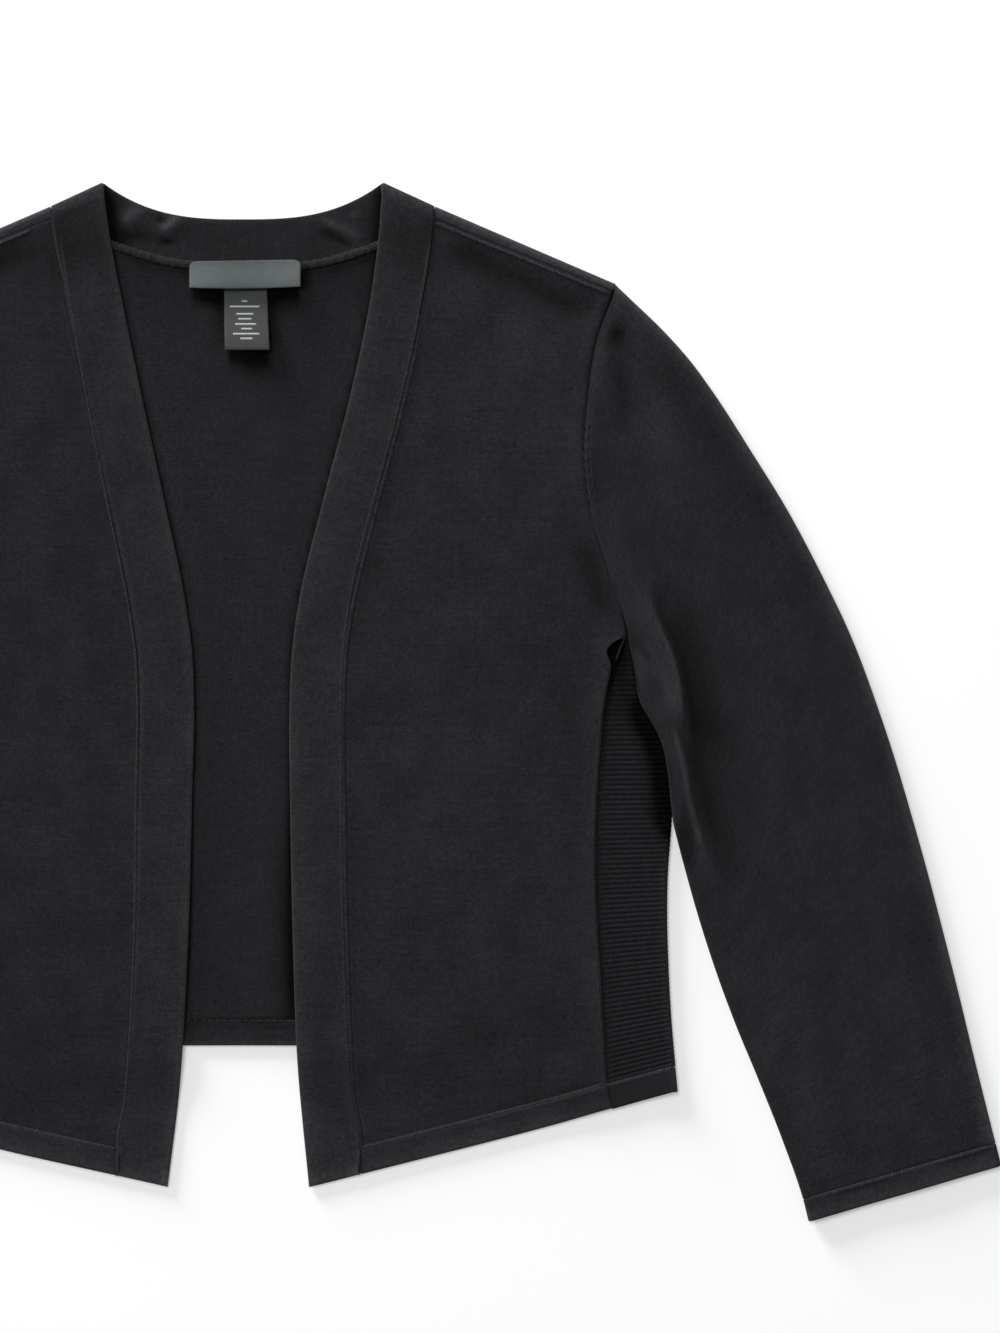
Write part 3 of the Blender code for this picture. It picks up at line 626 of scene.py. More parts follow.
    def front(self, side: Side, across: Array, down: Array) -> Array:
        """Height of the front layer's underside.

        Args:
            side: The half it is on.
            across: Distances from the centre-back line.
            down: Distances below the neck points.

        Returns:
            The heights, in the same shape.
        """
        own = side.pick(self.right, self.left)
        height = self.front_lift + total_relief(self.both + own, across, down)
        scale = side.pick(1.0, self.side_scale)
        height = height + scale * total_relief(self.front_creases, across, down)
        height = height + self.front_waves.relief(across * side.value, down)
        past_hem = (down - self.cut.hem_back.at(across) - self.drop_start) / self.drop_run
        return np.maximum(height * (1 - ease(past_hem)), 0.0)

    def panel(self, side: Side, across: Array, down: Array) -> Array:
        """Height of a front panel's underside, with its raised side edge and its dipped seam.

        Args:
            side: The half it is on.
            across: Distances from the centre-back line.
            down: Distances below the neck points.

        Returns:
            The heights, in the same shape.
        """
        start, full, fading, end = self.side_step_downs
        on_side = ease((down - start) / (full - start)) * ease((end - down) / (end - fading))
        near_side = ease(1 - (self.cut.side_seam.at(down) - across) / self.side_step_width)
        from_band = np.maximum(across - self.cut.band_seam(side, down), 0) / self.seam_dip_width
        dip = self.seam_dip * np.exp(-(from_band**2)) * ease((down - 20) / 20)
        height = self.front(side, across, down) + self.side_step * on_side * near_side
        height = height + self.seam_roll(self.cut.body_edge(down) - across, down)
        from_hem = np.maximum(self.cut.hem_line(side).at(across) - self.cut.hem - down, 0)
        return np.maximum(height - dip - glow(from_hem, self.hem_dip, self.hem_dip_width), 0.0)

    def seam_roll(self, distance: Array, down: Array) -> Array:
        """Height of the roll and groove along the armhole, from the distance to its seam.

        Args:
            distance: Distances to the seam.
            down: Distances below the neck points.

        Returns:
            The heights, in the same shape.
        """
        groove = -self.armhole_dip.at(down) * np.exp(-((distance / self.armhole_dip_width) ** 2))
        from_roll = (distance - self.armhole_roll_place) / self.armhole_roll_width
        fade = ease((self.cut.underarm_down + 20 - down) / 20)
        return (groove + self.armhole_roll * np.exp(-(from_roll**2))) * fade

    def sleeve(self, across: Array, down: Array) -> Array:
        """Height of a sleeve's underside: on the surface, or over the ribbed side panel.

        Args:
            across: Distances from the centre-back line.
            down: Distances below the neck points.

        Returns:
            The heights, in the same shape.
        """
        cut = self.cut
        over = self.front_lift + total_relief(self.both, across, down)
        over = over + cut.knit + cut.rib_relief + self.sleeve_over_rib
        run = self.sleeve_run
        past_fold = ease((cut.side_fold.at(down) + run - across) / (run - 1))
        start, full, fading, end = self.sleeve_over_downs
        along = ease((down - start) / (full - start)) * ease((end - down) / (end - fading))
        return over * past_fold * along

    def sleeve_relief(self, side: Side, across: Array, down: Array) -> Array:
        """Height that a sleeve's creases add to its upper layer.

        Args:
            side: The half it is on.
            across: Distances from the centre-back line.
            down: Distances below the neck points.

        Returns:
            The heights, in the same shape.
        """
        scale = side.pick(1.0, self.side_scale)
        creases = scale * total_relief(self.sleeve_creases, across, down)
        return creases + self.sleeve_waves.relief(across * side.value, down)


@dataclass
class Shell:
    """A grid of cloth: skin and lining points (rows, columns, 3) in mm, and its stitch places.

    `knit` holds the distance along a course and along a wale, in mm. A tube's last column joins
    its first, and its knit grid then has one column more. Its lightness grid says how much lighter
    the yarn is at each corner, mostly painted light and shade, and its rim value is a painted
    highlight: how much lighter the yarn is round the free edges.
    """

    skin: Array
    lining: Array
    knit: Array
    tube: bool = False
    wear: Array | None = None
    rim_wear: float = 1.12

    def rims(self) -> list[list[tuple[int, int]]]:
        """Loops of grid corners round the shell's free edges.

        Returns:
            One loop, or two on a tube, of (row, column) pairs.
        """
        rows, columns = self.skin.shape[:2]
        if self.tube:
            return [[(r, c) for c in range(columns)] for r in (0, rows - 1)]
        top = [(0, c) for c in range(columns)]
        right = [(r, columns - 1) for r in range(1, rows)]
        bottom = [(rows - 1, c) for c in range(columns - 2, -1, -1)]
        left = [(r, 0) for r in range(rows - 2, 0, -1)]
        return [top + right + bottom + left]

    def outward(self, r: int, c: int) -> Array:
        """Unit vector out of the shell at a corner of its rim, in the cloth's own plane.

        Args:
            r: The corner's row.
            c: The corner's column.

        Returns:
            The vector.
        """
        rows, columns = self.skin.shape[:2]
        middle = (self.skin + self.lining) / 2
        out = np.zeros(3)
        if r in (0, rows - 1):
            out += unit(middle[r, c] - middle[1 if r == 0 else rows - 2, c])
        if not self.tube and c in (0, columns - 1):
            out += unit(middle[r, c] - middle[r, 1 if c == 0 else columns - 2])
        return out


class MeshMaker:
    """Collects shells and tubes and makes one mesh object of them."""

    RIM_ANGLES = (50.0, 0.0, -50.0)
    RIM_BULGE = 0.5
    TUBE_SIDE = 0.3

    def __init__(self) -> None:
        """Starts with nothing collected."""
        self.points: list[Array] = []
        self.faces: list[Array] = []
        self.uvs: list[Array] = []
        self.wear: list[Array] = []
        self.count = 0

    def add(self, points: Array, faces: Array, uvs: Array, wear: Array | None = None) -> None:
        """Collects quads.

        Args:
            points: Points (n, 3) in mm.
            faces: Corner numbers (m, 4) into points.
            uvs: Stitch places (m, 4, 2) of the corners.
            wear: How much lighter the yarn is at each point, mostly painted light and shade, or None for
                plain yarn.
        """
        self.wear.append(np.ones(len(points)) if wear is None else wear)
        self.points.append(points)
        self.faces.append(faces + self.count)
        self.uvs.append(uvs)
        self.count += len(points)

    def add_shell(self, shell: Shell) -> None:
        """Collects a shell, closed round its free edges by a rounded rim.

        Args:
            shell: The shell.
        """
        rows, columns = shell.skin.shape[:2]
        skin, lining = shell.skin.copy(), shell.lining.copy()
        rims, ring_points, ring_painted_light = shell.rims(), [], []
        wear = np.ones((rows, columns)) if shell.wear is None else shell.wear
        for rim in rims:
            outs = np.array([shell.outward(r, c) for r, c in rim])
            index = tuple(np.array(rim).T)
            half = (shell.skin[index] - shell.lining[index]) / 2
            radius = np.linalg.norm(half, axis=1, keepdims=True)
            bulge = outs * radius * self.RIM_BULGE
            middle = (shell.skin[index] + shell.lining[index]) / 2 - bulge
            skin[index], lining[index] = middle + half, middle - half
            for angle in np.radians(self.RIM_ANGLES):
                ring_points.append(middle + bulge * np.cos(angle) + half * np.sin(angle))
                ring_painted_light.append(wear[index] * shell.rim_wear)
        size = rows * columns
        numbers = np.arange(size).reshape(rows, columns)
        if shell.tube:
            numbers = np.concatenate([numbers, numbers[:, :1]], 1)
        quads, uv = cell_corners(numbers), cell_corners(shell.knit)
        faces = [quads, quads[:, ::-1] + size]
        uvs = [uv, uv[:, ::-1]]
        start = 2 * size
        per_rim = len(self.RIM_ANGLES)
        for i, rim in enumerate(rims):
            at = np.array([r * columns + c for r, c in rim])
            n = len(rim)
            rings = [at] + [start + k * n + np.arange(n) for k in range(per_rim)] + [at + size]
            start += per_rim * n
            rim_uv = np.array([shell.knit[r, c] for r, c in rim])
            flip = -1 if shell.tube and i == 1 else 1
            for a, b in zip(rings, rings[1:]):
                strip = np.stack([np.roll(a, -1), a, b, np.roll(b, -1)], 1)
                strip_uv = np.stack([np.roll(rim_uv, -1, 0), rim_uv] + [rim_uv] * 2, 1)
                faces.append(strip[:, ::flip])
                uvs.append(strip_uv[:, ::flip])
        points = np.concatenate([skin.reshape(-1, 3), lining.reshape(-1, 3), *ring_points])
        tones_and_painted_light = np.concatenate([wear.ravel(), wear.ravel(), *ring_painted_light])
        self.add(points, np.concatenate(faces), np.concatenate(uvs), tones_and_painted_light)

    def add_tube(
        self, path: Array, width: Array, height: Array, sides: int = 8, wear: float = 1.0
    ) -> None:
        """Collects a thin closed tube along a path.

        Args:
            path: Its middle line (n, 3) in mm.
            width: Half its width at each point, level.
            height: Half its height at each point, upright.
            sides: Corners round it.
            wear: How much lighter its yarn is: a painted highlight or painted shade on the tube.
        """
        n = len(path)
        run = unit(np.gradient(path, axis=0))
        up = np.array([0.0, 0.0, 1.0])
        level = unit(np.cross(run, up))
        turn = np.linspace(0, math.tau, sides, endpoint=False)
        rings = (
            path[:, None]
            + level[:, None] * (width[:, None] * np.cos(turn))[..., None]
            + up * (height[:, None] * np.sin(turn))[..., None]
        )
        points = np.concatenate([rings.reshape(-1, 3), path[:1], path[-1:]])
        numbers = np.arange(n * sides).reshape(n, sides)
        numbers = np.concatenate([numbers, numbers[:, :1]], 1)
        uv = np.zeros((n, sides + 1, 2))
        uv[..., 0] = np.arange(sides + 1) * self.TUBE_SIDE
        uv[..., 1] = run_lengths(path)[:, None]
        caps = []
        for ring, middle, flip in ((numbers[0], n * sides, 1), (numbers[-1], n * sides + 1, -1)):
            for k in range(0, sides, 2):
                caps.append([middle, ring[k + 2], ring[k + 1], ring[k]][::flip])
        faces = np.concatenate([cell_corners(numbers), np.array(caps)])
        uvs = np.concatenate([cell_corners(uv), np.zeros((len(caps), 4, 2))])
        self.add(points, faces, uvs, np.full(len(points), wear))

    def make(self, name: str, material: bpy.types.Material, slot: Slot) -> bpy.types.Object:
        """Makes the object, in metres, and lets it ride on the garment's body.

        Args:
            name: The piece's name.
            material: Its finish.
            slot: Not used.

        Returns:
            The object.
        """
        points = np.concatenate(self.points) * MM
        faces = np.concatenate(self.faces)
        mesh = bpy.data.meshes.new(name)
        mesh.from_pydata(points.tolist(), [], faces.tolist())
        a, b, c, d = (points[faces[:, k]] for k in range(4))
        volume = (np.cross(b - a, c - a) * a).sum() + (np.cross(c - a, d - a) * a).sum()
        layer = mesh.uv_layers.new(name=UV_NAME)
        layer.uv.foreach_set("vector", np.concatenate(self.uvs).astype(np.float32).ravel())
        wear = mesh.attributes.new(PAINTED_LIGHT_NAME, "FLOAT", "POINT")
        wear.data.foreach_set("value", np.concatenate(self.wear).astype(np.float32))
        if volume < 0:
            mesh.flip_normals()
        mesh.materials.append(material)
        mesh.shade_smooth()
        made = bpy.data.objects.new(name, mesh)
        bpy.context.scene.collection.objects.link(made)
        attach(made, BODY)
        LOG.info("%s: %d faces", name, len(faces))
        return made


def frame_points(side: Side, places: Array, height: Array) -> Array:
    """Places (..., 2) and heights (...) of a half as points (..., 3) of the frame, in mm."""
    across = places[..., 0] * side.value
    return np.stack([across, NECK_POINT_Y - places[..., 1], height], -1)


def laid_shell(
    side: Side, places: Array, under: Array, thick: float | Array, wear: Array | None = None
) -> Shell:
    """A shell that lies over places of a half.

    Args:
        side: The half.
        places: Its grid of places.
        under: Height of its underside at each place.
        thick: Its thickness.
        wear: How much lighter the yarn is at each place, mostly painted light and shade, or None for
            plain yarn.

    Returns:
        The shell, with its stitches laid level and upright.
    """
    skin = frame_points(side, places, under + thick)
    return Shell(skin, frame_points(side, places, under), places * [side.value, 1], wear=wear)


def make_cloth(
    name: str, shells: Iterable[Shell], finish: bpy.types.Material, slot: Slot
) -> bpy.types.Object:
    """Makes one piece of cloth.

    Args:
        name: The piece's name.
        shells: The shells that it is made of.
        finish: Its material.
        slot: A slot name for the finish, passed on to the maker.

    Returns:
        The piece.
    """
    maker = MeshMaker()
    for shell in shells:
        maker.add_shell(shell)
    return maker.make(name, finish, slot)


def glow(distance: Array, amount: float, width: float) -> Array:
    """A soft rise of `amount` at distance 0 that fades over `width` mm."""
    return amount * np.exp(-((distance / width) ** 2))


def edge_wear(distance: Array) -> Array:
    """Painted highlight near a free edge: how much lighter the yarn is, from the distance to it."""
    return glow(distance, 0.6, 6.5)


class Graph:
    """Short calls for making a material's nodes."""

    def __init__(self, name: str) -> None:
        """Makes a material of that name with its shader and output.

        Args:
            name: The material's name.
        """
        self.material = bpy.data.materials.new(name)
        self.material.use_nodes = True
        self.tree = self.material.node_tree
        self.tree.nodes.clear()
        self.shader = self.tree.nodes.new("ShaderNodeBsdfPrincipled")
        output = self.tree.nodes.new("ShaderNodeOutputMaterial")
        self.tree.links.new(self.shader.outputs["BSDF"], output.inputs["Surface"])

    def set(self, socket: Socket, value: Socket | float | tuple) -> None:
        """Links a socket into another, or writes a plain value into it.

        Args:
            socket: The socket to fill.
            value: Another socket, or a plain value.
        """
        if isinstance(value, bpy.types.NodeSocket):
            self.tree.links.new(value, socket)
        else:
            socket.default_value = value

    def dress(self, inputs: dict[str, Socket | float | tuple]) -> None:
        """Fills the shader's inputs, by their names."""
        for name, value in inputs.items():
            self.set(self.shader.inputs[name], value)

    def math(self, operation: str, *values: Socket | float) -> Socket:
        """Result of a Math node.

        Args:
            operation: What the node does.
            *values: What it does it to, in order.

        Returns:
            The result.
        """
        node = self.tree.nodes.new("ShaderNodeMath")
        node.operation = operation
        for socket, value in zip(node.inputs, values):
            self.set(socket, value)
        return node.outputs[0]

    def stitch_places(self) -> tuple[Socket, Socket]:
        """Distances along a course and along a wale, in mm.

        Returns:
            Both distances.
        """
        uv = self.tree.nodes.new("ShaderNodeUVMap")
        uv.uv_map = UV_NAME
        split = self.tree.nodes.new("ShaderNodeSeparateXYZ")
        self.tree.links.new(uv.outputs["UV"], split.inputs["Vector"])
        return split.outputs["X"], split.outputs["Y"]

    def wear(self) -> Socket:
        """Painted light and shade over the yarn's own tone: how much lighter the yarn is.

        Returns:
            The mesh's own value.
        """
        node = self.tree.nodes.new("ShaderNodeAttribute")
        node.attribute_name = PAINTED_LIGHT_NAME
        return node.outputs["Fac"]

    def noise(self, u: Socket, v: Socket, size: tuple[float, float], detail: float) -> Socket:
        """Noise from 0 to 1 whose spots are about `size` mm, along a course and along a wale.

        Args:
            u: Distance along a course.
            v: Distance along a wale.
            size: Size of its spots each way.
            detail: How many finer layers it has.

        Returns:
            The noise.
        """
        place = self.tree.nodes.new("ShaderNodeCombineXYZ")
        self.set(place.inputs["X"], self.math("DIVIDE", u, size[0]))
        self.set(place.inputs["Y"], self.math("DIVIDE", v, size[1]))
        node = self.tree.nodes.new("ShaderNodeTexNoise")
        self.set(node.inputs["Vector"], place.outputs["Vector"])
        self.set(node.inputs["Scale"], 1.0)
        self.set(node.inputs["Detail"], detail)
        return node.outputs["Fac"]

    def blend(self, share: Socket | float, first: Socket | tuple, second: Socket | tuple) -> Socket:
        """Colour between two others.

        Args:
            share: How much of the second one there is.
            first: The first colour.
            second: The second colour.

        Returns:
            The colour.
        """
        node = self.tree.nodes.new("ShaderNodeMix")
        node.data_type = "RGBA"
        self.set(node.inputs["Factor"], share)
        self.set(node.inputs["A"], first)
        self.set(node.inputs["B"], second)
        return node.outputs["Result"]

    def bump(self, height: Socket, distance: float) -> None:
        """Gives the shader a bump of that height, with its full rise in metres.

        Args:
            height: Its height, from 0 to 1.
            distance: Its full rise in metres.
        """
        node = self.tree.nodes.new("ShaderNodeBump")
        self.set(node.inputs["Strength"], 1.0)
        self.set(node.inputs["Distance"], distance)
        self.set(node.inputs["Height"], height)
        self.set(self.shader.inputs["Normal"], node.outputs["Normal"])


@dataclass(frozen=True)
class KnitFinish:
    """Fine-gauge knit: its loops, its faint nap and its uneven black."""

    name: str
    colour: tuple[float, float, float]
    face: Face = Face.PLAIN
    wale: float = 1.15
    course: float = 0.85
    loop_depth: float = 0.13
    gap_shade: float = 0.62
    fuzz: float = 0.75
    mottle: float = 0.36
    roughness: float = 0.9
    specular: float = 0.06
    sheen: float = 0.03
    sheen_roughness: float = 0.5
    sheen_tint: tuple[float, float, float, float] = (0.94, 0.94, 1.0, 1.0)
    brightest: float = 3.5
    rib_pitch: float = 0.0
    rib_shade: float = 0.6
    turned: bool = False

    def loops(self, graph: Graph, u: Socket, v: Socket) -> Socket:
        """Height of the loops, from 0 to 1, at stitch places counted in stitches.

        Args:
            graph: The material's nodes.
            u: Place along a course.
            v: Place along a wale.

        Returns:
            The height.
        """
        if self.face is Face.PURL:
            wave = graph.math("MULTIPLY", graph.math("COSINE", graph.math("MULTIPLY", u, math.tau)), 0.22)
            bars = graph.math("MULTIPLY", graph.math("ADD", v, wave), math.tau)
            return graph.math("MULTIPLY_ADD", graph.math("COSINE", bars), 0.5, 0.5)
        from_middle = graph.math("ABSOLUTE", graph.math("SUBTRACT", graph.math("FRACT", u), 0.5))
        leg = graph.math("SINE", graph.math("MULTIPLY", from_middle, math.tau))
        slanted = graph.math("MULTIPLY_ADD", from_middle, -1.1, v)
        along = graph.math("SINE", graph.math("MULTIPLY", slanted, math.tau))
        along = graph.math("MULTIPLY_ADD", along, 0.32, 0.68)
        return graph.math("MULTIPLY", graph.math("POWER", graph.math("ABSOLUTE", leg), 0.7), along)

    def make(self) -> bpy.types.Material:
        """Makes the material.

        Returns:
            The material.
        """
        graph = Graph(self.name)
        u, v = graph.stitch_places()
        wear, bars = graph.wear(), v
        if self.turned:
            u, v = v, u
        drift = graph.noise(u, v, (5.0, 7.0), 1.0)
        u_loops = graph.math("DIVIDE", graph.math("MULTIPLY_ADD", drift, 0.7, u), self.wale)
        v_loops = graph.math("DIVIDE", graph.math("MULTIPLY_ADD", drift, -0.9, v), self.course)
        loops = self.loops(graph, u_loops, v_loops)
        fibres = graph.noise(u, v, (0.9, 1.3), 2.0)
        tufts = graph.noise(u, v, (2.6, 3.6), 3.0)
        broad = graph.noise(u, v, (17.0, 24.0), 3.0)
        rows = graph.noise(u, v, (30.0, 1.7), 1.0)
        height = graph.math("MULTIPLY_ADD", tufts, 0.9, graph.math("MULTIPLY_ADD", fibres, 0.6, loops))
        graph.bump(height, self.loop_depth * MM)
        # Painted shade in the gaps between loops; the spots below are the yarn's own uneven tone.
        shade = graph.math("MULTIPLY_ADD", loops, 1 - self.gap_shade, self.gap_shade)
        spotted = (
            (fibres, self.fuzz),
            (tufts, self.fuzz * 0.6),
            (broad, self.mottle),
            (rows, self.mottle / 2),
        )
        for spots, amount in spotted:
            spread = graph.math("MULTIPLY_ADD", spots, 2 * amount, 1 - amount)
            shade = graph.math("MULTIPLY", shade, spread)
        # Then the painted light and shade that the mesh carries.
        shade = graph.math("MULTIPLY", shade, wear)
        # Painted shade in the hollows between the ribs.
        if self.rib_pitch:
            wave = graph.math("SINE", graph.math("MULTIPLY", bars, math.pi / self.rib_pitch))
            rib = graph.math("POWER", graph.math("ABSOLUTE", wave), 0.8)
            rib = graph.math("MULTIPLY_ADD", rib, 1 - self.rib_shade, self.rib_shade)
            shade = graph.math("MULTIPLY", shade, rib)
        black = (0.0, 0.0, 0.0, 1.0)
        base = tuple(c * self.brightest for c in self.colour) + (1.0,)
        share = graph.math("DIVIDE", shade, self.brightest)
        graph.dress(
            {
                "Base Color": graph.blend(share, black, base),
                "Roughness": self.roughness,
                "Specular IOR Level": self.specular,
                "Sheen Weight": self.sheen,
                "Sheen Roughness": self.sheen_roughness,
                "Sheen Tint": self.sheen_tint,
            }
        )
        return graph.material


@dataclass(frozen=True)
class WovenFinish:
    """Woven satin of a label: fine ribs of thread both ways."""

    name: str
    colour: tuple[float, float, float]
    thread: float = 0.45
    depth: float = 0.06
    roughness: float = 0.5
    specular: float = 0.15

    def make(self) -> bpy.types.Material:
        """Makes the material.

        Returns:
            The material.
        """
        graph = Graph(self.name)
        u, v = graph.stitch_places()
        turn = math.tau / self.thread
        warp = graph.math("SINE", graph.math("MULTIPLY", u, turn))
        weft = graph.math("SINE", graph.math("MULTIPLY", v, turn * 0.8))
        weave = graph.math("MULTIPLY_ADD", graph.math("ADD", warp, weft), 0.25, 0.5)
        graph.bump(weave, self.depth * MM)
        wear = graph.noise(u, v, (6.0, 3.0), 3.0)
        shade = graph.math("MULTIPLY_ADD", weave, 0.18, graph.math("MULTIPLY_ADD", wear, 0.3, 0.7))
        # Then the painted light that the mesh carries.
        shade = graph.math("MULTIPLY", shade, graph.wear())
        base = tuple(c * 2.0 for c in self.colour) + (1.0,)
        half = graph.math("MULTIPLY", shade, 0.5)
        colour = graph.blend(half, (0, 0, 0, 1), base)
        graph.dress(
            {
                "Base Color": colour,
                "Roughness": self.roughness,
                "Specular IOR Level": self.specular,
            }
        )
        return graph.material


class Finishes:
    """Every finish of the garment."""

    def __init__(self) -> None:
        """Makes each finish once."""
        self.knit = KnitFinish("fine_knit", (0.0214, 0.0214, 0.0240)).make()
        self.inside = KnitFinish(
            "fine_knit_inside", (0.0178, 0.0178, 0.0201), Face.PURL, mottle=0.2, gap_shade=0.8
        ).make()
        self.band = KnitFinish("double_knit", (0.0238, 0.0238, 0.0265)).make()
        self.rib = KnitFinish(
            "rib_knit",
            (0.0180, 0.0180, 0.0206),
            turned=True,
            mottle=0.1,
            sheen=0.015,
            rib_pitch=RIB_PITCH,
        ).make()
        # The ridges' yarn is lighter than the knit: a painted sheen on the raised lines.
        self.yarn = KnitFinish("linking_yarn", (0.0300, 0.0300, 0.0335), wale=0.6, course=0.9).make()
        self.label = WovenFinish("label_satin", (0.087, 0.100, 0.100)).make()
        self.tag = WovenFinish("tag_satin", (0.0475, 0.0495, 0.0515)).make()
        # Near-black: painted shade deep in the seams and in the fashioning marks.
        self.core = KnitFinish(
            "seam_depth", (0.004, 0.004, 0.0045), sheen=0.0, specular=0.03
        ).make()
        self.mark = WovenFinish("mark_thread", (0.42, 0.43, 0.43)).make()


@dataclass(frozen=True)
class SubAssembly:
    """Pieces that are built together: how the garment lies, and its finishes."""

    lie: Lie
    finishes: Finishes

    @property
    def cut(self) -> Cut:
        """Outlines of the garment."""
        return self.lie.cut


@dataclass(frozen=True)
class BodyPanels(SubAssembly):
    """The back and the two fronts, with their turned hems."""

    rows: int = 230
    columns: int = 72
    back_rows: int = 130
    back_columns: int = 121
    hem_rows: int = 9
    opening: float = 6.2
    opening_down: float = 247.0
    opening_length: float = 6.0
    neck_inset: float = 1.7
    edge_powers: tuple[int, int] = (14, 5)
    corner_across: float = 61.0
    back_hem_down: float = 466.0
    side_hem_across: float = 191.0
    shoulder_drop: float = 2.4
    neck_points: int = 60
    # Painted light and shade on the fronts: a highlight beside the armhole, painted light along the right
    # band's seam, and painted shade along the left band's seam.
    armhole_edge: Tone = Tone(0.18, 6.0)
    right_rim: Tone = Tone(1.7, 1.6, 0.6)
    left_shade: Tone = Tone(0.3, 9.0)
    left_shade_reach: Tone = Tone(1.0, 20, 42)
    wrap_columns: int = 60
    wrap_rows: int = 5
    wrap_turn: float = 78.0
    wrap_rings: int = 13
    wrap_tail: tuple[float, float] = (8.0, 14.0)
    # Painted highlight on the strip of the back that comes over each shoulder, lightest on its edge.
    wrap_wear: tuple[float, float] = (2.7, 2.4)
    wrap_edge_wear: tuple[float, float] = (2.2, 1.6)
    wrap_start_wear: float = 1.3
    # Painted shade on the back: contact shadows along the bands' inner edges, deeper low down and low on
    # the right, and shade below the neck; painted light beside the left band lightens its cast shadow.
    right_line: Tone = Tone(0.7, 1.6)
    right_shade: Tone = Tone(0.12, 5.0)
    left_glow: Tone = Tone(0.68, 6.5)
    left_line: Tone = Tone(0.8, 1.7)
    low_start: Fade = Fade(320, 60)
    right_low_shade: Tone = Tone(0.5, 8.5)
    left_low_shade: Tone = Tone(0.25, 4.0)
    right_deep_shade: Tone = Tone(0.45, 5.5)
    deep_reach: Tone = Tone(1.0, 34, 405)
    neck_shade: float = 0.3
    neck_shade_end: Fade = Fade(85, -50)
    back_wear_limits: tuple[float, float] = (0.03, 2.0)
    wave_start: Fade = Fade(60, 60)
    wave_end: Fade = Fade(430, -60)
    # The back hem's own tone, a painted highlight along its edge and painted shade a little below its
    # seam.
    back_hem_wear: float = 0.88
    back_hem_edge: Tone = Tone(0.9, 1.9)
    back_hem_groove: Tone = Tone(0.25, 1.1, 2.9)

    def hem_places(self, side: Side | None, columns: int, rows: int = hem_rows) -> Array:
        """Places of a hem's strip, from its seam down to the edge.

        Args:
            side: The front's half, or None for the back.
            columns: How many places along it.
            rows: How many places across it.

        Returns:
            Places (rows, columns, 2).
        """
        cut = self.cut
        up = cut.hem * (1 - np.linspace(0, 1, rows))
        line = cut.hem_line(side)
        if side is None:
            end = cut.side_seam.at(self.back_hem_down)
            across = np.linspace(-end, end, columns)
            return np.stack(
                [np.broadcast_to(across, (rows, columns)), line.at(np.abs(across)) - up[:, None]], -1
            )
        places = np.zeros((rows, columns, 2))
        for i, rise in enumerate(up):
            start = cut.band_seam(side, line.at(self.corner_across) - rise)
            end = cut.side_seam.at(line.at(cut.hem_seam_across) - rise)
            across = np.linspace(start, end, columns)
            places[i] = np.stack([across, line.at(across) - rise], -1)
        return places

    def front_places(self, side: Side) -> Array:
        """Places of a front panel, from the shoulder seam to the hem seam.

        Args:
            side: The half it is on.

        Returns:
            Places (rows, columns, 2).
        """
        cut = self.cut
        start = cut.shoulder_neck[0] + self.neck_inset
        across = np.linspace(start, cut.shoulder_tip[0], self.columns)
        line, away, wrap = cut.shoulder(across)
        top = line - away * wrap[:, None]
        bottom = self.hem_places(side, self.columns, 2)[0]
        share = np.linspace(0, 1, self.rows)
        turn = (cut.underarm_down - top[-1, 1]) / (bottom[-1, 1] - top[-1, 1])
        left = top[0, 1] + (bottom[0, 1] - top[0, 1]) * share
        right = np.interp(share, [0, turn, 1], [top[-1, 1], cut.underarm_down, bottom[-1, 1]])
        starts = np.stack([cut.band_seam(side, left), left], -1)
        pull = glow(right - self.opening_down, self.opening, self.opening_length)
        ends = np.stack([cut.body_edge(right) - pull, right], -1)
        reach = np.linspace(0, 1, self.columns)[None, :, None]
        places = starts[:, None] + (ends - starts)[:, None] * reach
        top_power, bottom_power = self.edge_powers
        for row, edge, near in ((0, top, (1 - share) ** top_power), (-1, bottom, share**bottom_power)):
            places = places + near[:, None, None] * (edge - places[row])
        return places

    def front_wear(self, side: Side, across: Array, down: Array) -> Array:
        """Painted light and shade on a front, over its own tone: how much lighter its yarn is.

        Args:
            side: The half it is on.
            across: Distances from the centre-back line.
            down: Distances below the neck points.

        Returns:
            The value at each place.
        """
        lie = self.lie
        from_edge = self.cut.body_edge(down) - across
        from_band = across - self.cut.band_seam(side, down)
        # Painted light and shade from the seams, the creases and the listed strips and patches.
        groove = lie.armhole_groove.at(from_edge) * lie.groove_end.at(down)
        wear = side.pick(*lie.front_share) + self.armhole_edge.at(from_edge) - groove
        wear = wear + lie.crease_wear * total_relief(lie.front_creases, across, down)
        wear = wear + total_relief(lie.front_tones, across, down)
        if side is Side.RIGHT:
            return wear + self.right_rim.at(from_band) * lie.below_neck.at(down)
        return wear - self.left_shade.at(from_band) * self.left_shade_reach.at(down)

    def build_front(self, side: Side) -> None:
        """Makes a front panel.

        Args:
            side: The half it is on.
        """
        places = self.front_places(side)
        under = self.lie.panel(side, places[..., 0], places[..., 1])
        wear = self.front_wear(side, places[..., 0], places[..., 1])
        shell = laid_shell(side, places, under, self.cut.knit, wear)
        piece = make_cloth(f"front_{side.letter}", [shell], self.finishes.knit, Slot.KNIT)
        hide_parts(f"front_panel_{side.letter}")

    def build_front_hem(self, side: Side) -> None:
        """Makes the turned hem of a front.

        Args:
            side: The half it is on.
        """
        places = self.hem_places(side, self.columns)
        under = self.lie.front(side, places[..., 0], places[..., 1])
        wear = 1 + edge_wear(self.cut.hem_line(side).at(places[..., 0]) - places[..., 1])
        shell = laid_shell(side, places, under, self.cut.double, wear)
        piece = make_cloth(f"front_hem_{side.letter}", [shell], self.finishes.band, Slot.BAND)
        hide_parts(f"hem_front_{side.letter}")

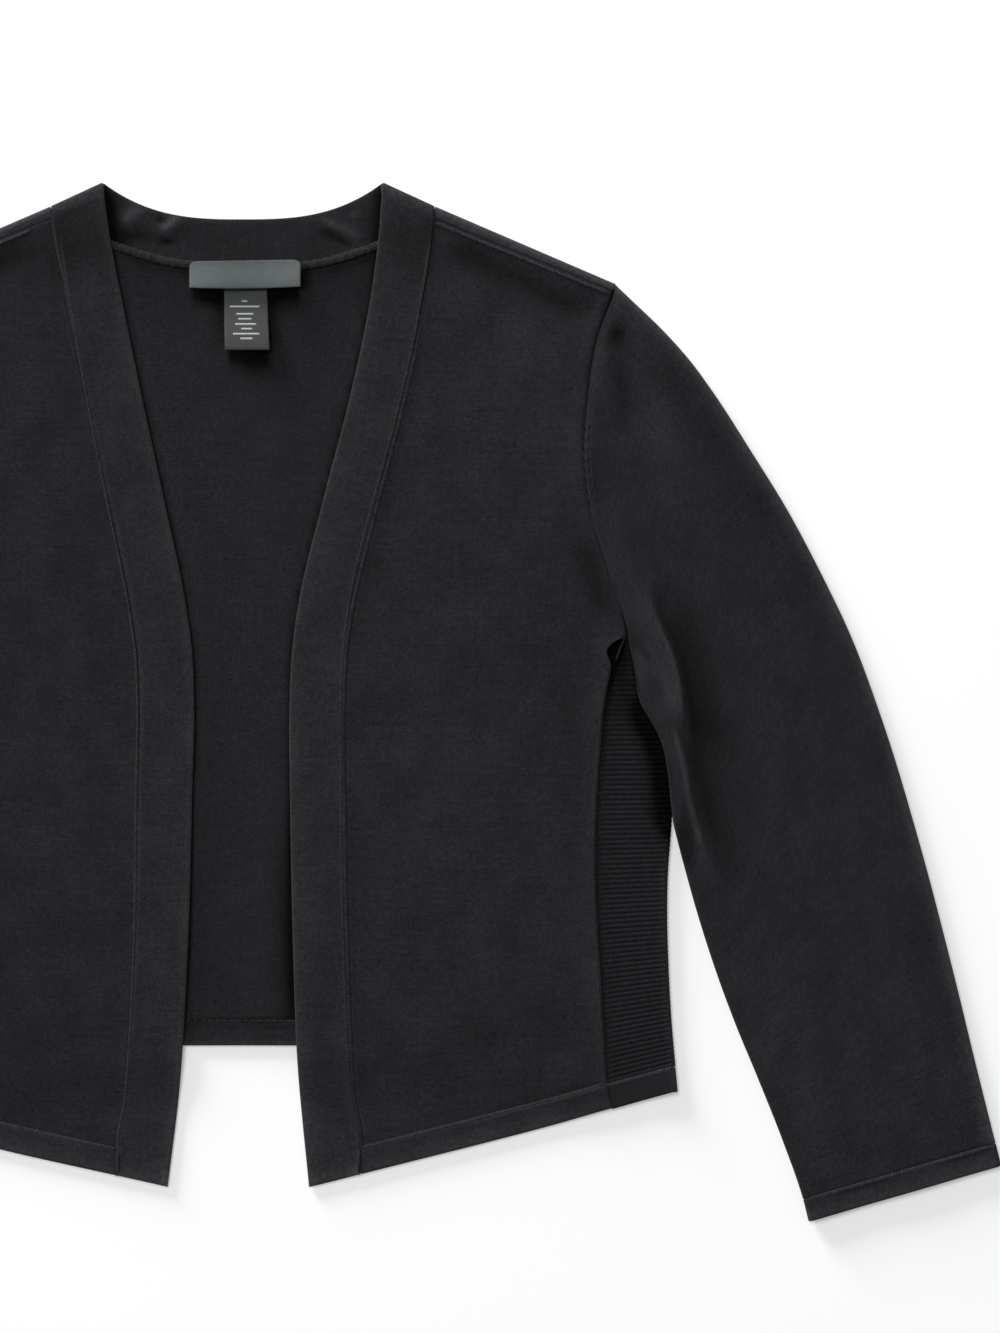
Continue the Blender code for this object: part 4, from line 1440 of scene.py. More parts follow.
    def shoulder_wrap(self, side: Side) -> Shell:
        """The strip of the back that comes over the shoulder to the front.

        Args:
            side: The half it is on.

        Returns:
            The strip.
        """
        cut = self.cut
        radius = (self.lie.front_lift + cut.knit) / 2
        start, end = cut.shoulder_neck[0] + 0.1, cut.shoulder_tip[0] + 0.2
        across = np.linspace(start, end, self.wrap_columns)
        line, away, wrap = cut.shoulder(across)
        skins, linings, places = [], [], []
        for share in np.linspace(1, 0, self.wrap_rows):
            inward = radius + (wrap - radius) * share
            skins.append((inward[:, None], 2 * radius))
            linings.append((inward[:, None], 2 * radius - cut.knit))
        for angle in np.radians(np.linspace(self.wrap_turn, -self.wrap_turn, self.wrap_rings)):
            for rows, reach in ((skins, radius), (linings, radius - cut.knit)):
                inward = np.full((len(across), 1), radius - reach * math.cos(angle))
                rows.append((inward, radius + reach * math.sin(angle)))
        for inward in (radius, *self.wrap_tail):
            skins.append((np.full((len(across), 1), inward), 0.0))
            linings.append((np.full((len(across), 1), inward), cut.knit))
        grids = []
        for rows in (skins, linings):
            grid = [
                frame_points(side, line - away * inward, np.full(len(across), height))
                for inward, height in rows
            ]
            grids.append(np.stack(grid))
        run = run_lengths(grids[0])
        knit = np.stack([np.broadcast_to(across * side.value, run.shape), run], -1)
        wear = np.full(run.shape, side.pick(*self.wrap_wear))
        edge = np.linspace(self.wrap_start_wear, side.pick(*self.wrap_edge_wear), self.wrap_rows - 1)
        wear[: self.wrap_rows - 1] = edge[:, None]
        return Shell(grids[0], grids[1], knit, wear=wear)

    def back_wear(self, places: Array) -> Array:
        """Painted shade on the back: its yarn is darker in the shadows of the bands, the labels and the
        underarms, and lighter beside the left band.

        Args:
            places: Places (..., 2).

        Returns:
            The value at each place.
        """
        across, down = places[..., 0], places[..., 1]
        from_right = np.maximum(self.cut.band_right.at(down) - across, 0)
        from_left = np.maximum(across + self.cut.band_left.at(down), 0)
        low = self.right_low_shade.at(from_right) + self.left_low_shade.at(from_left)
        wear = 1 - self.right_line.at(from_right) - self.right_shade.at(from_right)
        wear = wear + self.left_glow.at(from_left) - self.left_line.at(from_left)
        wear = wear - self.low_start.at(down) * low
        wear = wear - self.deep_reach.at(down) * self.right_deep_shade.at(from_right)
        wear = wear - self.neck_shade * self.neck_shade_end.at(down)
        wear = wear - total_relief(self.lie.label_shade, across, down)
        wear = wear - total_relief(self.lie.underarm_shade, np.abs(across), down)
        return np.clip(wear, *self.back_wear_limits)

    def build_back(self) -> None:
        """Makes the back, whose shoulder edges come over to the front."""
        cut = self.cut
        half = (self.back_columns - 1) // 2
        share = np.linspace(0, 1, half + 1)
        widest = cut.shoulder_tip[0]
        across = share * widest
        neck = np.linspace(0, 1, self.neck_points)
        seam_across = np.append(cut.neck_seam_across.at(neck), cut.shoulder_neck[0])
        seam_down = np.append(cut.neck_seam_down.at(neck), cut.shoulder_neck[1])
        line = cut.shoulder(across)[0][:, 1] + self.shoulder_drop
        top = np.where(across < cut.shoulder_neck[0], np.interp(across, seam_across, seam_down), line)
        hem_side = cut.hem_back.at(self.side_hem_across) - cut.hem
        downs = np.linspace(cut.shoulder_tip[1] + self.shoulder_drop, hem_side, self.back_rows)
        down_share = ((downs - downs[0]) / (downs[-1] - downs[0]))[:, None]
        x = share[None] * cut.body_edge(downs)[:, None]
        bottom = cut.hem_back.at(x) - cut.hem
        y = top[None] + (bottom - top[None]) * down_share
        y[:, -1] = downs
        places = np.stack([x, y], -1)
        places = np.concatenate([(places * [-1, 1])[:, :0:-1], places], 1)
        waves = self.lie.back_waves
        height = np.abs(waves.relief(places[..., 0], places[..., 1]))
        height = height * self.wave_start.at(places[..., 1]) * self.wave_end.at(places[..., 1])
        flat = np.zeros(height.shape)
        panel = laid_shell(Side.RIGHT, places, flat, height + cut.knit, self.back_wear(places))
        shells = [panel] + [self.shoulder_wrap(side) for side in Side]
        piece = make_cloth("back", shells, self.finishes.inside, Slot.KNIT)
        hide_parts("back_panel")

    def build_back_hem(self) -> None:
        """Makes the turned hem of the back."""
        places = self.hem_places(None, self.back_columns)
        from_edge = self.cut.hem_back.at(np.abs(places[..., 0])) - places[..., 1]
        groove = self.back_hem_groove.at(self.cut.hem - from_edge)
        wear = self.back_hem_wear + self.back_hem_edge.at(from_edge) - groove
        flat = np.zeros(places.shape[:2])
        shell = laid_shell(Side.RIGHT, places, flat, self.cut.double, wear)
        piece = make_cloth("back_hem", [shell], self.finishes.band, Slot.BAND)
        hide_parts("hem_back")

    def build(self) -> None:
        """Makes the back, the fronts and their hems."""
        self.build_back()
        self.build_back_hem()
        for side in Side:
            self.build_front(side)
            self.build_front_hem(side)


@dataclass(frozen=True)
class SidePanels(SubAssembly):
    """Ribbed side panels, folded round the body's sides, with their hems."""

    rows_per_rib: int = 6
    front_columns: int = 16
    back_columns: int = 7
    hem_rows: int = 9
    sink: float = -0.9
    tip_sink: Swell = Swell(200, 246, 9, 14, -1.2)
    tuck: Crease = Crease(
        ((207, 262), (216, 280), (224, 300), (227, 322), (228, 344)), -3.4, 9.0, taper=0.2
    )
    lowest: float = 1.45
    most_radius: float = 0.45
    least_radius: float = 0.05
    rib_edge: float = 0.06
    rib_power: float = 0.8
    # Painted highlight along the rib's fold, and painted shade beside its seam with the front.
    fold_rim: Tone = Tone(1.4, 2.4)
    fold_rim_start: Fade = Fade(348, 20)
    seam_shade: Tone = Tone(0.45, 1.5, 1.0)
    seam_shade_end: Fade = Fade(330, -40)
    wear_limits: tuple[float, float] = (0.02, 2.0)

    def edges(self, side: Side, share: Array) -> tuple[Array, Array, Array]:
        """Places of the front seam, side fold and back seam at shares of the panel's length.

        Args:
            side: The half it is on.
            share: Shares of its length.

        Returns:
            Places (n, 2) on each of the three.
        """
        cut = self.cut
        ends = (
            cut.hem_line(side).at(cut.hem_seam_across) - cut.hem,
            cut.hem_line(side).at(cut.hem_fold_across) - cut.hem,
            cut.hem_back.at(cut.hem_seam_across) - cut.hem,
        )
        level = cut.tip_down + (ends[0] - cut.tip_down) * share
        fold = level - (ends[0] - ends[1]) * share**3
        back = level - (ends[0] - ends[2]) * share**3
        return (
            np.stack([cut.side_seam.at(level), level], -1),
            np.stack([cut.side_fold.at(fold), fold], -1),
            np.stack([cut.side_seam.at(back), back], -1),
        )

    def hem_edges(self, side: Side, share: Array) -> tuple[Array, Array, Array]:
        """The same for the hem, from its seam down to its edge.

        Args:
            side: The half it is on.
            share: Shares of the hem's depth.

        Returns:
            Places (n, 2) on each of the three.
        """
        cut = self.cut
        rows = []
        for layer, across, outline in (
            (side, cut.hem_seam_across, cut.side_seam),
            (side, cut.hem_fold_across, cut.side_fold),
            (None, cut.hem_seam_across, cut.side_seam),
        ):
            down = cut.hem_line(layer).at(across) - cut.hem * (1 - share)
            rows.append(np.stack([outline.at(down), down], -1))
        return rows[0], rows[1], rows[2]

    def shell(
        self,
        side: Side,
        edges: tuple[Array, Array, Array],
        thick: float,
        ribs: Array,
    ) -> Shell:
        """A piece that folds from the front layer round to the surface.

        Args:
            side: The half it is on.
            edges: Places of its front seam, side fold and back seam, row by row.
            thick: Its thickness.
            ribs: Height of its ribs, row by row.

        Returns:
            The shell.
        """
        front, fold, back = edges
        below = self.lie.front(side, fold[:, 0], fold[:, 1])
        below = np.maximum(below + self.tuck.relief(fold[:, 0], fold[:, 1]), self.lowest)
        most = self.most_radius * (fold[:, 0] - front[:, 0]) + thick / 2
        radius = np.minimum((below + thick) / 2, most)
        centre = fold - np.stack([radius, np.zeros_like(radius)], -1)
        reach = np.linspace(0, 1, self.front_columns)[None, :, None]
        places = front[:, None] + (centre - front)[:, None] * reach
        front_height = self.lie.front(side, places[..., 0], places[..., 1])
        under = front_height + total_relief((self.tip_sink, self.tuck), places[..., 0], places[..., 1])
        under = np.maximum(under + self.sink, np.minimum(front_height, self.lowest))
        share = reach[..., 0] ** 3
        under = under * (1 - share) + (2 * radius - thick)[:, None] * share
        edge_fade = ease(reach[..., 0] / self.rib_edge)
        skin = [frame_points(side, places, under + thick + ribs[:, None] * edge_fade)]
        lining = [frame_points(side, places, under)]
        for angle in FOLD_ANGLES:
            for rows, round_off in ((skin, radius + 0.5 * ribs), (lining, radius - thick)):
                round_off = np.maximum(round_off, self.least_radius)
                out = np.stack([round_off * math.cos(angle), np.zeros_like(radius)], -1)
                height = np.maximum(radius + round_off * math.sin(angle), 0.0)
                rows.append(frame_points(side, centre + out, height)[:, None])
        away = np.linspace(0, 1, self.back_columns)[None, :, None]
        under_places = centre[:, None] + (back - centre)[:, None] * away
        zero = np.zeros(under_places.shape[:2])
        skin.append(frame_points(side, under_places, zero))
        lining.append(frame_points(side, under_places, zero + thick))
        skin_grid = np.concatenate(skin, 1)
        run = run_lengths(np.swapaxes(skin_grid, 0, 1)).T
        along = np.linspace(0, self.cut.ribs * RIB_PITCH, len(ribs))[:, None]
        knit = np.stack([run, np.broadcast_to(along, run.shape)], -1)
        across, downs = skin_grid[..., 0] * side.value, NECK_POINT_Y - skin_grid[..., 1]
        from_fold = self.cut.side_fold.at(downs) - across
        from_seam = across - self.cut.side_seam.at(downs)
        # Painted light and shade: the fold's highlight, the seam's shade and the sleeve's shadow over the
        # ribs.
        rim = self.fold_rim.at(from_fold) * self.fold_rim_start.at(downs)
        rim = rim - self.seam_shade.at(from_seam) * self.seam_shade_end.at(downs)
        shade = total_relief(self.lie.underarm_shade, across, downs)
        wear = np.clip(1 + rim - shade, *self.wear_limits)
        return Shell(skin_grid, np.concatenate(lining, 1), knit, wear=wear)

    def build_panel(self, side: Side) -> None:
        """Makes a ribbed panel.

        Args:
            side: The half it is on.
        """
        cut = self.cut
        share = np.linspace(0, 1, cut.ribs * self.rows_per_rib + 1)
        turn = np.abs(np.sin(math.pi * cut.ribs * share)) ** self.rib_power
        shell = self.shell(side, self.edges(side, share), cut.knit, cut.rib_relief * turn)
        piece = make_cloth(f"rib_side_{side.letter}", [shell], self.finishes.rib, Slot.RIB)
        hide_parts(f"side_panel_{side.letter}")

    def build_hem(self, side: Side) -> None:
        """Makes the panel's hem.

        Args:
            side: The half it is on.
        """
        edges = self.hem_edges(side, np.linspace(0, 1, self.hem_rows))
        shell = self.shell(side, edges, self.cut.double, np.zeros(self.hem_rows))
        piece = make_cloth(f"side_hem_{side.letter}", [shell], self.finishes.band, Slot.BAND)
        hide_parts(f"hem_side_{side.letter}")

    def build(self) -> None:
        """Makes both panels and their hems."""
        for side in Side:
            self.build_panel(side)
            self.build_hem(side)


@dataclass(frozen=True)
class Sleeves(SubAssembly):
    """Sleeves, each one flattened tube, and their turned cuffs."""

    rings: int = 190
    top_points: int = 84
    bottom_points: int = 30
    cuff_rings: int = 9
    armhole_fade: float = 3.0
    seam_close: float = 0.2
    armhole_blend: float = 22.0
    cuff_length: float = 12.0
    cuff_gap: float = 0.6
    cuff_wave: float = 0.35
    cuff_wave_turn: float = 0.11
    # The sleeve's own tone; painted highlights along its outer fold and beside the armhole; painted shade
    # along its inner edge.
    plain_wear: float = 1.03
    outer_glow: Tone = Tone(0.9, 5.2)
    outer_rim: Tone = Tone(1.1, 2.0)
    inner_shade: Tone = Tone(0.25, 1.8)
    armhole_edge: Tone = Tone(0.14, 6.0)
    armhole_edge_share: float = 0.2
    groove_share: float = 0.1
    wear_limits: tuple[float, float] = (0.15, 3.0)

    def chord(self, share: float) -> tuple[Array, Array]:
        """Places of the outer and inner edge at a share of the sleeve's length.

        Args:
            share: Share of the length.

        Returns:
            One place (2,) on each edge.
        """
        cut = self.cut
        outer_start, inner_start = cut.sleeve_outer.stations[0][0], cut.sleeve_inner.stations[0][0]
        outer = outer_start + (cut.cuff_seam[0] - outer_start) * share
        inner = inner_start + (cut.cuff_seam[1] - inner_start) * share
        return (
            np.array([float(cut.sleeve_outer.at(outer)), outer]),
            np.array([float(cut.sleeve_inner.at(inner)), inner]),
        )

    def places(self, share: float, reach: Array) -> Array:
        """Places across the sleeve; reach is 0 on its outer edge and 1 on its inner one.

        Args:
            share: Share of the length.
            reach: Shares of the width.

        Returns:
            Places (n, 2).
        """
        outer, inner = self.chord(share)
        first_outer, first_inner = self.chord(0.0)
        seam_down = first_outer[1] + (first_inner[1] - first_outer[1]) * reach
        straight = first_outer[0] + (first_inner[0] - first_outer[0]) * reach
        seam = self.cut.armhole.at(seam_down) - self.seam_close
        curve = (seam - straight) * (1 - share) ** self.armhole_fade
        places = outer + (inner - outer) * reach[:, None]
        places[:, 0] += curve
        return places

    def ring(
        self,
        side: Side,
        places_at: Callable[[Array], Array],
        width: float,
        lift: Callable[[Array], Array],
        top: Callable[[Array, Array], Array],
        thick: float,
    ) -> tuple[Array, Array, Array]:
        """One ring round a flattened tube.

        Args:
            side: The half it is on.
            places_at: Places across it, from shares of its width.
            width: Its width, laid flat.
            lift: Height of its underside at places.
            top: Height of its upper face, from places and distances to the nearer edge.
            thick: The cloth's thickness.

        Returns:
            Skin points, lining points and distances along the skin.
        """
        ends = places_at(np.array([0.0, 1.0]))
        low = lift(ends)
        edge_radius = (top(ends, np.zeros(2)) - low) / 2
        skin, lining = [], []

        def turn(end: int, angles: Array) -> None:
            """Adds the turn round one edge."""
            radius = edge_radius[end]
            for rows, reach in ((skin, radius), (lining, radius - thick)):
                distance = radius - reach * np.cos(angles)
                share = distance / width if end == 0 else 1 - distance / width
                rows.append(
                    frame_points(side, places_at(share), low[end] + radius + reach * np.sin(angles))
                )

        turn(0, FOLD_ANGLES[::-1])
        distance = np.linspace(edge_radius[0], width - edge_radius[1], self.top_points)
        over = places_at(distance / width)
        height = top(over, np.minimum(distance, width - distance))
        skin.append(frame_points(side, over, height))
        lining.append(frame_points(side, over, height - thick))
        turn(1, FOLD_ANGLES)
        distance = np.linspace(width - edge_radius[1], edge_radius[0], self.bottom_points)
        below = places_at(distance / width)
        height = lift(below)
        skin.append(frame_points(side, below, height))
        lining.append(frame_points(side, below, height + thick))
        outside = np.concatenate(skin)
        around = run_lengths(np.concatenate([outside, outside[:1]])) - width / 2
        return outside, np.concatenate(lining), around

    def sleeve_top(self, side: Side, share: float, places: Array, edge: Array) -> Array:
        """Height of the sleeve's upper face.

        Args:
            side: The half it is on.
            share: Share of the length.
            places: Places (..., 2).
            edge: Distances to the nearer edge.

        Returns:
            The heights.
        """
        lie, cut = self.lie, self.cut
        low = lie.sleeve(places[:, 0], places[:, 1])
        hollow = float(lie.sleeve_gap.at(share))
        relief = lie.sleeve_relief(side, places[:, 0], places[:, 1]) * ease((edge - 1.5) / 5)
        height = low + 2 * cut.knit + hollow + relief
        front = lie.front(side, places[:, 0], places[:, 1]) + cut.knit
        outer, inner = self.chord(share)
        from_seam = np.linalg.norm((outer + inner) / 2 - sum(self.chord(0.0)) / 2)
        near = ease(1 - from_seam / self.armhole_blend) * ease(edge / 6)
        roll = lie.seam_roll(from_seam, places[:, 1]) * ease(edge / 4)
        return np.maximum(height * (1 - near) + front * near + roll, low + 2 * cut.knit + 0.2)

    def wear(self, side: Side, share: float, ring: Array) -> Array:
        """Painted light and shade round one ring, over the yarn's own tone: lighter on folds and ridges,
        darker in creases.

        Args:
            side: The half it is on.
            share: Share of the length.
            ring: The ring's skin points.

        Returns:
            The value at each point.
        """
        outer, inner = self.chord(share)
        places = np.stack([ring[:, 0] * side.value, NECK_POINT_Y - ring[:, 1]], -1)
        line = unit(inner - outer)
        from_outer = (places - outer) @ line
        from_inner = np.linalg.norm(inner - outer) - from_outer
        from_seam = self.cut.armhole.at(places[:, 1]) - places[:, 0]
        wear = self.plain_wear + self.outer_glow.at(from_outer) + self.outer_rim.at(from_outer)
        wear = wear - self.inner_shade.at(from_inner)
        wear = wear + self.armhole_edge.at(from_seam) * (share < self.armhole_edge_share)
        groove = self.lie.armhole_groove.at(from_seam) * (share < self.groove_share)
        wear = wear - groove * self.lie.groove_end.at(places[:, 1])
        creases = total_relief(self.lie.sleeve_creases, places[:, 0], places[:, 1])
        tones = total_relief(self.lie.sleeve_tones, places[:, 0], places[:, 1])
        return np.clip(wear + self.lie.crease_wear * creases + tones, *self.wear_limits)

    def build_sleeve(self, side: Side) -> None:
        """Makes a sleeve, from the armhole to the cuff seam.

        Args:
            side: The half it is on.
        """
        skins, linings, arounds, tones_and_painted_light = [], [], [], []
        shares = np.linspace(0, 1, self.rings)
        for share in shares:
            outer, inner = self.chord(share)
            skin, lining, around = self.ring(
                side,
                lambda reach, s=share: self.places(s, reach),
                float(np.linalg.norm(inner - outer)),
                lambda p: self.lie.sleeve(p[:, 0], p[:, 1]),
                lambda p, edge, s=share: self.sleeve_top(side, s, p, edge),
                self.cut.knit,
            )
            skins.append(skin)
            linings.append(lining)
            arounds.append(around)
            tones_and_painted_light.append(self.wear(side, share, skin))
        middle = np.array([sum(self.chord(s)) / 2 for s in shares])[:, None]
        along = run_lengths(middle)
        around = np.stack(arounds)
        knit = np.stack([around * side.value, np.broadcast_to(along, around.shape)], -1)
        shell = Shell(np.stack(skins), np.stack(linings), knit, tube=True, wear=np.stack(tones_and_painted_light))
        piece = make_cloth(f"sleeve_knit_{side.letter}", [shell], self.finishes.knit, Slot.KNIT)
        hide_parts(f"sleeve_{side.letter}")

    def build_cuff(self, side: Side) -> None:
        """Makes a turned cuff below the sleeve.

        Args:
            side: The half it is on.
        """
        cut = self.cut
        rings = []
        for share in np.linspace(0, 1, self.cuff_rings):
            ends = []
            for line, seam, edge in zip(
                (cut.sleeve_outer, cut.sleeve_inner), cut.cuff_seam, cut.cuff_edge
            ):
                down = seam + (edge - seam) * share
                ends.append(np.array([float(line.at(down)), down]))
            rings.append(
                self.ring(
                    side,
                    lambda reach, e=ends: e[0] + (e[1] - e[0]) * reach[:, None],
                    float(np.linalg.norm(ends[1] - ends[0])),
                    lambda p: np.zeros(len(p)),
                    lambda p, edge: np.full(len(p), 2 * cut.double + self.cuff_gap)
                    + self.cuff_wave * np.sin(p[:, 0] * self.cuff_wave_turn) * ease(edge / 8),
                    cut.double,
                )
            )
        skin, lining, around = (np.stack(part) for part in zip(*rings))
        depth = np.linspace(0, self.cuff_length, self.cuff_rings)[:, None]
        along = np.broadcast_to(depth, around.shape)
        knit = np.stack([around * side.value, along], -1)
        wear = np.broadcast_to(1 + edge_wear(self.cuff_length - depth), skin.shape[:2])
        shell = Shell(skin, lining, knit, tube=True, wear=wear)
        piece = make_cloth(f"cuff_knit_{side.letter}", [shell], self.finishes.band, Slot.BAND)
        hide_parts(f"cuff_{side.letter}")

    def build(self) -> None:
        """Makes both sleeves and their cuffs."""
        for side in Side:
            self.build_sleeve(side)
            self.build_cuff(side)


@dataclass(frozen=True)
class FrontBand(SubAssembly):
    """The double band up one front, round the back neck and down the other front."""

    reaches: Array = field(
        default_factory=lambda: np.concatenate([np.linspace(0, 0.8, 13), np.linspace(0.82, 1, 10)])
    )
    front_downs: Array = field(default_factory=lambda: np.linspace(532, 8, 190))
    neck_rows: int = 42
    # Painted light and shade on the band: highlights along its inner edge, near the hem and at the hem
    # corners, painted shade at its top, and painted light beside the right seam and on the fold at the
    # neck point.
    rims: tuple[Tone, Tone] = (Tone(0.22, 1.9), Tone(0.4, 2.2))
    soft_rim: Tone = Tone(0.2, 6.5)
    top_shades: tuple[Tone, Tone] = (Tone(0.33, 22, 31), Tone(0.42, 22, 31))
    near_hem: Fade = Fade(440, 40)
    near_hem_wear: float = 0.08
    near_hem_rim: Tone = Tone(0.3, 7.0)
    corner: Tone = Tone(0.9, 4.0)
    corner_end: Tone = Tone(1.0, 4.0)
    right_seam: Tone = Tone(0.35, 2.0)
    fold_wear: float = 1.55
    # The neckband's own tone; painted shade and highlight from its creases, a painted highlight along its
    # top edge and painted shadows where the fronts' bands lie over it.
    plain_neck_wear: float = 0.78
    neck_crease_wear: float = 0.85
    neck_rim: Tone = Tone(0.3, 3.0)
    under_bands: tuple[Tone, Tone] = (Tone(0.8, 4.8), Tone(0.8, 8.0))
    least_neck_wear: float = 0.05
    least_neck: float = 1.4

    def front_wear(self, side: Side, places: Array) -> Array:
        """Painted light and shade on the band down a front: how much lighter its yarn is.

        Args:
            side: The half it is on.
            places: Places (..., 2).

        Returns:
            The value at each place.
        """
        across, down = places[..., 0], places[..., 1]
        reach = self.reaches * self.cut.band_width
        to_seam = self.cut.band_width - reach
        from_hem = self.cut.hem_line(side).at(across) - down
        rim = side.pick(*self.rims).at(reach) + self.soft_rim.at(reach)
        wear = 1 + rim - side.pick(*self.top_shades).at(down)
        wear = wear + edge_wear(from_hem)
        rim = self.near_hem_wear + self.near_hem_rim.at(reach)
        wear = wear + self.near_hem.at(down) * rim
        corners = self.corner.at(reach) + self.corner.at(to_seam)
        wear = wear + self.corner_end.at(from_hem) * corners
        if side is Side.RIGHT:
            wear = wear + self.right_seam.at(to_seam) * self.lie.below_neck.at(down)
        return wear

    def neck_wear(self, side: Side, places: Array, raised: Array) -> Array:
        """Painted light and shade on the neckband, over its own tone: how much lighter its yarn is.

        Args:
            side: The half it is on.
            places: Places (..., 2).
            raised: Height of the creases at each place.

        Returns:
            The value at each place.
        """
        across, down = places[..., 0], places[..., 1]
        inner = side.pick(self.cut.band_right, self.cut.band_left).at(down)
        under_band = side.pick(*self.under_bands).at(np.maximum(inner - across, 0))
        from_top = down - self.cut.neck_edge_down(across)
        wear = self.plain_neck_wear + self.neck_rim.at(from_top) - under_band
        return np.maximum(wear + self.neck_crease_wear * raised, self.least_neck_wear)

    def half(self, side: Side) -> tuple[Array, Array, Array]:
        """Skin, lining and painted light and shade of one half, from the hem to the centre back.

        Args:
            side: The half it is on.

        Returns:
            Three grids, whose rows run across the band.
        """
        cut, lie = self.cut, self.lie
        places = cut.band_grid(side, self.front_downs, self.reaches)
        places[0, :, 1] = cut.hem_line(side).at(places[0, :, 0])
        under = lie.front(side, places[..., 0], places[..., 1])
        turn = ease(1 - self.front_downs / 40)[:, None]
        under = under * (1 - turn) + lie.front_lift * turn
        from_seam = (1 - self.reaches) * cut.band_width
        roll = glow(from_seam - 1.9, lie.band_roll, lie.band_roll_width) * (1 - turn)
        skin = [frame_points(side, places, under + cut.double + roll)]
        lining = [frame_points(side, places, under)]
        start, end = np.array(cut.neck_point), np.array(cut.shoulder_neck)
        line = start + (end - start) * self.reaches[:, None]
        away = unit(end - start)[::-1] * [1, -1]
        radius = (lie.front_lift + cut.double) / 2
        for angle in FOLD_ANGLES:
            for rows, reach in ((skin, radius), (lining, radius - cut.double)):
                place = line - away * (radius - reach * math.cos(angle))
                height = np.full(len(line), radius + reach * math.sin(angle))
                rows.append(frame_points(side, place, height)[None])
        share = np.linspace(1, 0, self.neck_rows)
        neck = cut.neck_rows(share, self.reaches)
        neck = np.concatenate([(line - away * radius)[None], neck])
        signed = neck[..., 0] * side.value
        raised = total_relief(lie.neck_creases, signed, neck[..., 1])
        skin.append(frame_points(side, neck, np.zeros(neck.shape[:2])))
        lining.append(frame_points(side, neck, np.maximum(cut.double + raised, self.least_neck)))
        folded = np.full((len(FOLD_ANGLES), len(self.reaches)), self.fold_wear)
        neck_wear = self.neck_wear(side, neck, raised)
        tones_and_painted_light = np.concatenate([self.front_wear(side, places), folded, neck_wear])
        return np.concatenate(skin), np.concatenate(lining), tones_and_painted_light

    def build(self) -> None:
        """Makes the band."""
        right, left = self.half(Side.RIGHT), self.half(Side.LEFT)
        skin, lining, wear = (np.concatenate([r, m[-2::-1]]) for r, m in zip(right, left))
        along = run_lengths(skin)
        reach = np.broadcast_to(self.reaches[None] * self.cut.band_width, along.shape)
        middle = along[:, [len(self.reaches) // 2]]
        knit = np.stack([reach, np.broadcast_to(middle, along.shape)], -1)
        shell = Shell(skin, lining, knit, wear=wear)
        piece = make_cloth("band", [shell], self.finishes.band, Slot.BAND)
        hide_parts("front_band_r", "front_band_l", "neckband")


@dataclass(frozen=True)
class Ridge:
    """A raised line of linked loops along a seam, which grows over the run `lead` at its start."""

    half_width: float = 0.6
    half_height: float = 0.45
    pitch: float = 1.9
    bead: float = 0.22
    sway: float = 0.12
    # How much lighter its yarn is: painted highlight above 1, painted shade below 1.
    wear: float = 1.0
    lead: float = 3.0

    def tube(self, maker: MeshMaker, path: Array) -> None:
        """Collects the ridge along a path (n, 3) in mm.

        Args:
            maker: What collects it.
            path: The path.
        """
        along = run_lengths(path)
        count = max(int(along[-1] / (self.pitch / 4)), 8)
        at = np.linspace(0, along[-1], count)
        line = np.stack([np.interp(at, along, path[:, k]) for k in range(3)], -1)
        phase = at / self.pitch * math.tau
        run = unit(np.gradient(line, axis=0))
        level = np.stack([run[:, 1], -run[:, 0], np.zeros(count)], -1)
        line = line + level * (self.sway * np.sin(phase / 2))[:, None]
        ends = np.minimum(ease(at / self.lead), ease((along[-1] - at) / 3)) * 0.9 + 0.1
        size = (1 + self.bead * np.cos(phase)) * ends
        maker.add_tube(line, self.half_width * size, self.half_height * size, wear=self.wear)


@dataclass(frozen=True)
class BandSeam:
    """How one band seam looks. Offsets are negative on the band."""

    bead: Ridge
    bead_offset: Line
    faint_offset: float
    faint_end: float
    filling: Ridge
    filling_offset: float
    filled_from: float
    filling_run: float


